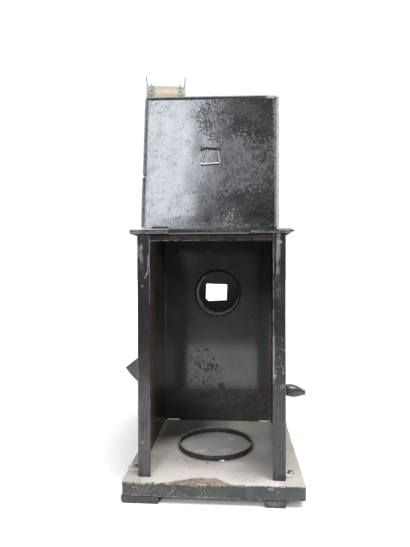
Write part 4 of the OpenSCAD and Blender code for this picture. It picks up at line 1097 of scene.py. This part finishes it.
def side_wall(s, lug_y, key, body_name, node):
    # outer path for the right wall (s = 1), going from the rear flange's inner edge round to the front flange's
    r = 1.25
    hx, y1 = 53.0, 122.9
    path = [(hx - 9.3, 0)] + [(hx - 9.3 + k, 0) for k in (0.35, 1.5, 3, 4.5, 6.2, 7.4)] + arc(hx - r, r, r, -90, 0, 6)
    path += [(hx, y) for y in (4, 8, 14, 22, 32, 44, 56, 68, 80, 92, 104, 114)]
    path += arc(hx - r, y1 - r, r, 0, 90, 6) + [(hx - 4, y1), (hx - 8, y1)]
    prof = strip_profile(path, 0.8)
    half = len(path)
    zs = list(np.linspace(0, 177.2, 112))
    V, F, m = sweep_z(prof, zs)
    # the rear flange stops below the roof's rolled edge, and the foot's corner is trimmed
    rearflange = (V[:, 1] < 1.3) & (V[:, 2] > 174.4)
    V[rearflange, 2] = 174.4 + (V[rearflange, 2] - 174.4) * 0.12
    nib = (V[:, 1] > 121.5) & (V[:, 0] < hx - 1.3) & (V[:, 2] < 0.5)
    V[nib, 2] = 0.9
    # hand-bent sheet: a little wavy, most of all along the free edge of the flange
    w = fbm(V * np.array([0.6, 0.5, 1.0]), 34, 7 + s, 2)
    w2 = fbm(V * np.array([0.0, 0.0, 1.0]), 11, 17 + s, 2)
    fr = np.clip((9.3 - (hx - V[:, 0])) / 9.3, 0, 1)
    flange = V[:, 1] < 1.4
    V[:, 0] += np.where(flange, 0, np.clip(w, -1, 1) * 0.16 * np.clip(V[:, 1] / 20, 0, 1) * np.clip((122 - V[:, 1]) / 12, 0, 1))
    V[:, 1] += np.where(flange, np.clip(w, -1, 1) * 0.22 * (1 - fr), 0)
    edge = V[:, 0] < hx - 8.9
    V[:, 0] += np.where(flange & edge, np.clip(w2, -1, 1) * 0.16, 0)
    wear = np.zeros(len(V))
    ends = np.concatenate([np.abs(np.arange(m) - 0) < 1, ])
    corner = (np.abs(V[:, 0] - hx) < 0.9) & (V[:, 1] < 1.1)
    wear[corner] = np.clip(0.45 + 0.5 * fbm(V[corner], 6, 3 + s, 3), 0, 1)
    wear[flange & edge] = np.clip(0.5 + 0.5 * fbm(V[flange & edge], 7, 5 + s, 3), 0, 1)
    ncap = len(F)
    # end caps as strips between the outer and the inner face
    for base in (0, (len(zs) - 1) * m):
        for j in range(half - 1):
            F.append((base + j, base + j + 1, base + m - 2 - j, base + m - 1 - j))
    mats = [0] * len(F)
    # lugs turned out at the foot, with a rounded end
    parts = [(V, F, mats)]
    wl = [wear]
    for y in (lug_y, 108):
        pts = [(hx - 0.8, y - 6), (hx + 4.5, y - 6)] + arc(hx + 4.5, y, 6, -90, 90, 14)[1:-1] + [(hx + 4.5, y + 6), (hx - 0.8, y + 6)]
        if s > 0 and y == lug_y:
            pts = [(hx - 0.8, y - 6), (hx + 1.5, y - 6)] + arc(hx + 1.5, y - 0.6, 5.4, -90, 90, 14)[1:-1] + [(hx + 1.5, y + 4.8), (hx - 0.8, y + 4.8)]
        n = len(pts)
        c = (hx + 3.2, y)
        rows = []
        for z, ins in ((0.0, 0.0), (0.95, 0.0), (1.2, 0.28)):
            for px, py in pts:
                q = np.array((px, py)) + (np.array(c) - (px, py)) / max(1e-6, math.hypot(c[0] - px, c[1] - py)) * ins
                rows.append((q[0], q[1], z))
        LV = np.array(rows)
        LF = []
        for i in range(2):
            for j in range(n):
                j2 = (j + 1) % n
                LF.append((i * n + j, i * n + j2, (i + 1) * n + j2, (i + 1) * n + j))
        LF.append(tuple(range(n - 1, -1, -1)))
        LF.append(tuple(range(2 * n, 3 * n)))
        parts.append((LV, LF, [1] * len(LF)))
        wl.append(np.zeros(len(LV)))
        # the fillet where the lug bends up into the wall
        fp, ff = [], []
        ys = (y - 6, y - 3, y, y + 3, y + 6)
        for yy in ys:
            for i in range(5):
                a = math.radians(90 * i / 4)
                fp.append((hx - 0.05 + 1.6 - 1.6 * math.cos(a) + 0.0, yy, 1.2 + 1.6 - 1.6 * math.sin(a)))
            fp.append((hx - 0.3, yy, 1.0))
        k = 6
        for i in range(len(ys) - 1):
            for j in range(k):
                j2 = (j + 1) % k
                ff.append((i * k + j, i * k + j2, (i + 1) * k + j2, (i + 1) * k + j))
        ff.append(tuple(range(k)))
        ff.append(tuple(range((len(ys) - 1) * k + k - 1, (len(ys) - 1) * k - 1, -1)))
        parts.append((np.array(fp), ff, [1] * len(ff)))
        wl.append(np.zeros(len(fp)))
    V, F, mats = join(*parts)
    if s < 0:
        V[:, 0] *= -1
        F = [tuple(reversed(f)) for f in F]
    ob = piece(body_name, V, F, [M[key], M["lug"]], "machine", (node,), sharp=38, face_mats=mats, attrs={"wear": np.concatenate(wl)})
    fix_normals(ob)


def make_lid():
    w2 = 47.2                # half width between the beads' centres
    L = 97.2
    cx = -0.9
    t = 0.4                  # half the sheet's thickness
    nx, nz = 64, 66
    xs = np.linspace(-w2, w2, nx + 1)
    zs = np.linspace(1.0, L, nz + 1)
    X, Z = np.meshgrid(xs, zs, indexing="ij")
    pts = np.column_stack((X.ravel(), np.zeros(X.size), Z.ravel()))
    dent = np.clip(fbm(pts, 38, 5, 2), -1, 1) * 0.35 + np.clip(fbm(pts, 13, 9, 2), -1, 1) * 0.07
    edge = np.minimum(np.minimum((w2 - np.abs(X.ravel())) / 9, (L - Z.ravel()) / 9), (Z.ravel() - 1.0) / 9)
    dent *= np.clip(edge, 0, 1)
    V, F = [], []
    n = X.size
    front = np.column_stack((X.ravel(), -3.0 - t + dent, Z.ravel()))
    back = np.column_stack((X.ravel(), -3.0 + t + dent, Z.ravel()))
    V = np.concatenate((front, back))

    def at(i, j, k=0):
        return i * (nz + 1) + j + k * n
    for i in range(nx):
        for j in range(nz):
            F.append((at(i, j), at(i + 1, j), at(i + 1, j + 1), at(i, j + 1)))
            F.append((at(i, j, 1), at(i, j + 1, 1), at(i + 1, j + 1, 1), at(i + 1, j, 1)))
    for i in range(nx):
        F.append((at(i, 0), at(i, 0, 1), at(i + 1, 0, 1), at(i + 1, 0)))
        F.append((at(i, nz), at(i + 1, nz), at(i + 1, nz, 1), at(i, nz, 1)))
    for j in range(nz):
        F.append((at(0, j), at(0, j + 1), at(0, j + 1, 1), at(0, j, 1)))
        F.append((at(nx, j), at(nx, j, 1), at(nx, j + 1, 1), at(nx, j + 1)))
    # the rolled bead: up the left edge, across the top, down the right edge
    rb = 1.12
    pth = [(-w2, -3.0, z) for z in np.linspace(2.5, 37.2, 22)]
    pth += [(-w2 + 0.0, -3.0, z) for z in (37.9,)]
    left2 = [(-w2 + 0.55, -3.0, z) for z in (39.4, 40.0)] + [(-w2 + 0.22, -3.0, z) for z in np.linspace(42, L - 1.6, 30)]
    corner = [(-w2 + 0.22 + 1.4 * (1 - math.cos(math.radians(a))), -3.0, L - 1.4 + 1.4 * math.sin(math.radians(a))) for a in (20, 45, 70, 90)]
    across = [(x, -3.0 + 0.0, L) for x in np.linspace(-w2 + 3, w2 - 2, 44)]
    corner2 = [(w2 - 1.4 + 1.4 * math.sin(math.radians(a)), -3.0, L - 1.4 + 1.4 * math.cos(math.radians(a))) for a in (20, 45, 70, 90)]
    down = [(w2, -3.0, z) for z in np.linspace(L - 3, 2.5, 50)]

    def wob(p, amp=0.12):
        p = np.array(p, float)
        f = fbm(p, 9, 21, 2)
        g = fbm(p + 50, 9, 22, 2)
        p[:, 0] += np.clip(f, -1, 1) * amp
        p[:, 1] += np.clip(g, -1, 1) * amp
        return p

    def radii(p, k):
        return rb * (1 + 0.10 * np.clip(fbm(p, 5, k, 2), -1, 1))

    p1, p2 = wob(pth), wob(left2 + corner + across + corner2 + down)
    b1 = tube(p1, radii(p1, 31), 14)
    b2 = tube(p2, radii(p2, 33), 14)
    # the turned edge of the bead, lying on the sheet just inside it
    lip = []
    for pa, side in ((p1, 1), (p2[:34], 1), (p2[-50:], -1)):
        q = pa.copy()
        q[:, 0] += side * (rb + 0.25)
        q[:, 1] = -3.0 - t - 0.10
        lip.append(tube(q, 0.22, 6))
    q = p2[36:80].copy()
    q[:, 2] -= rb + 0.25
    q[:, 1] = -3.0 - t - 0.10
    lip.append(tube(q, 0.22, 6))
    parts = [(V, F, 0), b1, b2] + lip
    V, F, mats = join(*[(p[0], p[1], 0) for p in parts])
    # the whole sheet leans a little to the right
    c, k = math.cos(SKEW), math.sin(SKEW)
    X, Z = V[:, 0].copy(), V[:, 2].copy()
    V[:, 0] = X * c + Z * k + cx
    V[:, 2] = -X * k + Z * c
    nb = len(parts[0][0])
    wear = np.zeros(len(V))
    wear[nb:] = np.clip(0.42 + 0.5 * fbm(V[nb:], 7, 41, 3), 0.2, 1)
    # the lid's knuckle, rolled from the same sheet
    kn = []
    x0, x1 = -29.2, 27.7
    prof = []
    for i in range(26):
        a = math.radians(-95 + 320 * i / 25)
        prof.append((2.0 * math.cos(a), 2.0 * math.sin(a)))
    inner = [(1.12 * math.cos(math.radians(-95 + 320 * i / 25)), 1.12 * math.sin(math.radians(-95 + 320 * i / 25))) for i in range(25, -1, -1)]
    loop = prof + inner
    nxk = 30
    kv, kf = [], []
    for i in range(nxk + 1):
        x = x0 + (x1 - x0) * i / nxk
        for py, pz in loop:
            kv.append((x, py, pz))
    m = len(loop)
    for i in range(nxk):
        for j in range(m):
            j2 = (j + 1) % m
            kf.append((i * m + j, i * m + j2, (i + 1) * m + j2, (i + 1) * m + j))
    for base in (0, nxk * m):
        for j in range(len(prof) - 1):
            kf.append((base + j, base + j + 1, base + m - 2 - j, base + m - 1 - j))
    kv = np.array(kv)
    # the neck between knuckle and sheet
    ne = []
    hs = [(-3.4, 3.2), (-3.4, 1.2), (-3.25, 0.2), (-2.7, -0.3), (-1.9, -0.55), (-1.6, 0.6), (-2.0, 1.6), (-2.45, 2.2), (-2.6, 3.2)]
    nv, nf = [], []
    for i in range(nxk + 1):
        x = x0 + (x1 - x0) * i / nxk
        for py, pz in hs:
            nv.append((x, py, pz))
    m2 = len(hs)
    for i in range(nxk):
        for j in range(m2):
            j2 = (j + 1) % m2
            nf.append((i * m2 + j, i * m2 + j2, (i + 1) * m2 + j2, (i + 1) * m2 + j))
    nf.append(tuple(range(m2)))
    nf.append(tuple(range(nxk * m2 + m2 - 1, nxk * m2 - 1, -1)))
    V0 = len(V)
    V, F, mats = join((V, F, 0), (kv, kf, 0), (np.array(nv), nf, 0))
    wear = np.concatenate((wear, np.clip(0.5 + 0.4 * fbm(V[V0:], 6, 44, 3), 0, 1)))
    ob = piece("lid_sheet", lid_place(V), F, [M["lid"]], "lid", ("lid",), sharp=38, attrs={"wear": wear})
    fix_normals(ob)


def make_pull():
    # corners in the lid's own frame (x, z), bent by hand from one wire
    y = -4.5
    py, pz = -4.5, 59.1
    c = {"tl": (-3.4, 59.45), "tr": (4.6, 58.75), "bl": (-6.9, 47.3), "br": (6.4, 48.1)}

    def rnd(a, b, c_, r=0.9, n=5):
        a, b, c_ = (np.array(v, float) for v in (a, b, c_))
        u, v = (a - b) / np.linalg.norm(a - b), (c_ - b) / np.linalg.norm(c_ - b)
        p0, p1 = b + u * r, b + v * r
        return [(1 - t) ** 2 * p0 + 2 * t * (1 - t) * b + t ** 2 * p1 for t in np.linspace(0, 1, n)]

    ear_l, ear_r = (-5.3, pz), (5.35, pz)
    pts = [(-7.0, pz), (-6.1, pz), ear_l]
    pts += rnd(ear_l, c["tl"], c["bl"], 0.8)
    pts += [np.array(c["tl"]) * (1 - t) + np.array(c["bl"]) * t for t in (0.25, 0.5, 0.75)]
    pts += rnd(c["tl"], c["bl"], c["br"], 1.0)
    pts += [np.array(c["bl"]) * (1 - t) + np.array(c["br"]) * t for t in (0.25, 0.5, 0.75)]
    pts += rnd(c["bl"], c["br"], c["tr"], 1.0)
    pts += [np.array(c["br"]) * (1 - t) + np.array(c["tr"]) * t for t in (0.25, 0.5, 0.75)]
    pts += rnd(c["br"], c["tr"], ear_r, 0.3)
    pts += [ear_r, (6.1, pz), (6.9, pz)]
    pts = np.array([(p[0], y, p[1]) for p in pts])
    rad = np.full(len(pts), 0.56)
    rad[:3] = rad[-3:] = 0.36
    rad[-5:-3] = 0.44
    V, F = tube(pts, rad, 12)
    # the straight bar between the eyes, brazed on behind
    bar = np.array([(-3.3, y, 59.4), (-1.6, y, 59.25), (0, y, 59.1), (2.5, y, 58.9), (4.5, y, 58.8)])
    V2, F2 = tube(bar, 0.5, 10)
    V, F, mats = join((V, F, 0), (V2, F2, 0))
    ob = piece("lid_pull_wire", lid_place(V), F, [M["pull"]], "lid_pull", ("lid_pull",), sharp=40)
    fix_normals(ob)


def make_condenser():
    cz = 126.1
    pr = [(20.6, 146), (20.6, 121.6), (20.72, 120.6), (21.0, 120.15)]
    pr += [(21.0 + 0.72 * (1 - math.cos(math.radians(a))) * 1.0, 119.55 - 0.62 * math.sin(math.radians(a))) for a in (0, 30, 60, 90, 120, 150, 180)]
    pr += [(22.45, 120.1), (22.7, 120.7), (22.62, 121.28), (21.5, 121.28), (21.4, 122), (21.4, 146)]
    V, F = revolve(pr, 96, "y", (0, 0, cz))
    f = fbm(V, 16, 3, 2)
    d = V - np.array((0, 0, cz))
    d[:, 1] = 0
    L = np.linalg.norm(d, axis=1)[:, None]
    k = ((V[:, 1] < 121.2) * np.clip(f, -1, 1) * 0.10)[:, None]
    V = V + d / L * k
    ob = piece("condenser_rim", V, F, [M["tube"]], "machine", ("condenser_tube",), sharp=40)
    fix_normals(ob)


def make_ring():
    n = 180
    V, F = [], []
    cx, cy = 0.5, 60.2
    rows = [(30.98, 0.02), (31.0, 3.9), (30.86, 4.22), (30.62, 4.3), (30.36, 4.24), (30.12, 4.05), (30.02, 3.7), (30.0, 0.02)]
    m = len(rows)
    for i in range(n):
        a = 2 * math.pi * i / n
        for r, z in rows:
            q = Vector((math.cos(a) * 1.4, math.sin(a) * 1.4, 0.3))
            w = mnoise.fractal(q, 1.0, 2.0, 2) * 0.35
            h = mnoise.fractal(q * 2 + Vector((5, 2, 1)), 1.0, 2.0, 2) * 0.16
            rr = r + w * 0.5
            V.append((cx + rr * math.cos(a), cy + rr * math.sin(a), min(4.3, z * (1 + h * 0.2)) if z > 1 else z))
    for i in range(n):
        i2 = (i + 1) % n
        for j in range(m):
            j2 = (j + 1) % m
            F.append((i * m + j, i2 * m + j, i2 * m + j2, i * m + j2))
    # the lapped end of the hoop with two small rivets, on the far side
    lap, lf = [], []
    a0, a1, k = 1.30, 1.67, 10
    for i in range(k + 1):
        a = a0 + (a1 - a0) * i / k
        for r, z in ((31.02, 0.1), (31.6, 0.1), (31.62, 3.7), (31.45, 3.95), (31.02, 3.95)):
            lap.append((cx + r * math.cos(a), cy + r * math.sin(a), z))
    for i in range(k):
        for j in range(5):
            j2 = (j + 1) % 5
            lf.append((i * 5 + j, (i + 1) * 5 + j, (i + 1) * 5 + j2, i * 5 + j2))
    lf.append((0, 1, 2, 3, 4))
    lf.append(tuple(k * 5 + j for j in (4, 3, 2, 1, 0)))
    parts = [(np.array(V), F, 0), (np.array(lap), lf, 0)]
    for a in (1.37, 1.59):
        c = np.array((cx + 31.6 * math.cos(a), cy + 31.6 * math.sin(a), 2.1))
        d = np.array((math.cos(a), math.sin(a), 0))
        t = np.array((-math.sin(a), math.cos(a), 0))
        rv, rf = [], []
        for b, (rad, up) in enumerate(((0.95, 0.0), (0.85, 0.3), (0.5, 0.52))):
            for q in range(12):
                g = 2 * math.pi * q / 12
                rv.append(c + d * up + (t * math.cos(g) + np.array((0, 0, 1)) * math.sin(g)) * rad)
        for b in range(2):
            for q in range(12):
                rf.append((b * 12 + q, b * 12 + (q + 1) % 12, (b + 1) * 12 + (q + 1) % 12, (b + 1) * 12 + q))
        rf.append(tuple(range(24, 36)))
        rf.append(tuple(range(11, -1, -1)))
        parts.append((np.array(rv), rf, 0))
    V, F, mats = join(*parts)
    ob = piece("lamp_hoop", V, F, [M["ring"]], "machine", ("lamp_ring",), sharp=45)
    fix_normals(ob)


def make_grip():
    knots = [(0.0, 19.8), (2.26, 19.8), (2.26, 13.0), (2.26, 6.0), (2.26, 0.0), (3.6, 0.0), (4.15, 0.12), (4.6, 0.5), (5.2, 1.3), (5.8, 2.6), (6.25, 4.3), (6.47, 6.2), (6.5, 7.6), (6.42, 9.4),
             (6.15, 11.4), (5.6, 13.6), (4.85, 15.7), (3.95, 17.7), (3.2, 19.2), (2.75, 20.3), (2.6, 20.9), (2.62, 21.5), (2.3, 21.9),
             (1.5, 22.0), (1.3, 21.8), (0.0, 21.75)]
    V, F = [], []
    n, m = 56, len(knots)
    for k in range(n):
        a = 2 * math.pi * k / n
        for r, h in knots:
            V.append((r * math.cos(a), r * math.sin(a), h))
    for k in range(n):
        k2 = (k + 1) % n
        for j in range(m - 1):
            if j == 0:
                F.append((k * m, k * m + 1, k2 * m + 1))
            elif j == m - 2:
                F.append((k * m + j, k * m + j + 1, k2 * m + j))
            else:
                F.append((k * m + j, k * m + j + 1, k2 * m + j + 1, k2 * m + j))
    V = np.array(V)
    # the handle's frame, as in the CAD: turned 98 degrees about Y
    t = math.radians(98)
    c, s_ = math.cos(t), math.sin(t)
    X = V[:, 0] * c + V[:, 2] * s_
    Z = -V[:, 0] * s_ + V[:, 2] * c
    W = np.column_stack((X + 67.2, V[:, 1] + 148, Z + 53 - 27.7 - 3.2 * math.tan(math.radians(8))))
    import bmesh
    ob = piece("crank_grip_wood", W, F, [M["grip"]], "grip", ("crank_grip",), sharp=50)
    bm = bmesh.new()
    bm.from_mesh(ob.data)
    bmesh.ops.remove_doubles(bm, verts=bm.verts, dist=1e-6)
    bmesh.ops.recalc_face_normals(bm, faces=bm.faces)
    bm.to_mesh(ob.data)
    bm.free()


def lump(c, r, seed, squash=(1, 1, 0.7), n=2):
    import bmesh
    bm = bmesh.new()
    bmesh.ops.create_icosphere(bm, subdivisions=n, radius=1.0)
    V = np.array([v.co[:] for v in bm.verts])
    F = [tuple(v.index for v in f.verts) for f in bm.faces]
    bm.free()
    k = 1 + 0.28 * np.clip(fbm(V * 1.0, 0.9, seed, 2), -1, 1)
    V = V * k[:, None] * r * np.array(squash) + np.array(c, float)
    return V, F


def make_debris():
    parts = [lump((7.0, 28.6, 0.75), 1.35, 3, (1.1, 0.9, 0.75)), lump((8.6, 28.0, 0.55), 0.9, 5, (1.1, 0.9, 0.7)),
             lump((5.4, 28.9, 0.4), 0.7, 7, (1, 0.8, 0.7)), lump((-12.8, 48.6, 0.35), 0.6, 9), lump((-9.6, 47.8, 0.3), 0.5, 11),
             lump((-7.2, 48.6, 0.45), 0.75, 13), lump((35.6, 84.0, 0.3), 0.55, 15), lump((-20.5, 76, 0.3), 0.5, 17)]
    V, F, m = join(*[(p[0], p[1], 0) for p in parts])
    V[:, 2] = np.maximum(V[:, 2], 0.0)
    ob = piece("plaster_crumbs", V, F, [M["crumb"]], "machine", (), sharp=60)
    fix_normals(ob)
    # a bent tack and a hair-fine splinter lying on the board
    parts = []
    a = np.array([(10.5, 74.5, 0.5), (12.5, 73.6, 0.55), (15.0, 73.1, 0.6), (17.0, 73.4, 0.9)])
    parts.append(tube(a, np.array([0.45, 0.5, 0.5, 0.45]), 8))
    parts.append(tube(np.array([(10.3, 74.9, 0.5), (10.9, 73.6, 0.55)]), 0.75, 8))
    parts.append(tube(np.array([(-15.5, 51.2, 0.25), (-12.0, 50.0, 0.3), (-9.5, 50.8, 0.25), (-7.5, 50.0, 0.2)]), 0.22, 6))
    V, F, m = join(*[(p[0], p[1], 0) for p in parts])
    ob = piece("bent_tack", V, F, [M["lug"]], "machine", (), sharp=60)
    fix_normals(ob)


make_board()
side_wall(-1, 14, "side_left", "left_side_sheet", "lamphouse_side_left")
side_wall(1, 11, "side_right", "right_side_sheet", "lamphouse_side_right")
make_lid()
make_pull()
make_condenser()
make_ring()
make_grip()
make_debris()


# ================================================================ put together
make_camera()
make_lights()
make_world()
make_floor()
dress_nodes()
sc = bpy.context.scene
sc.view_settings.view_transform = "Standard"
sc.view_settings.look = "None"
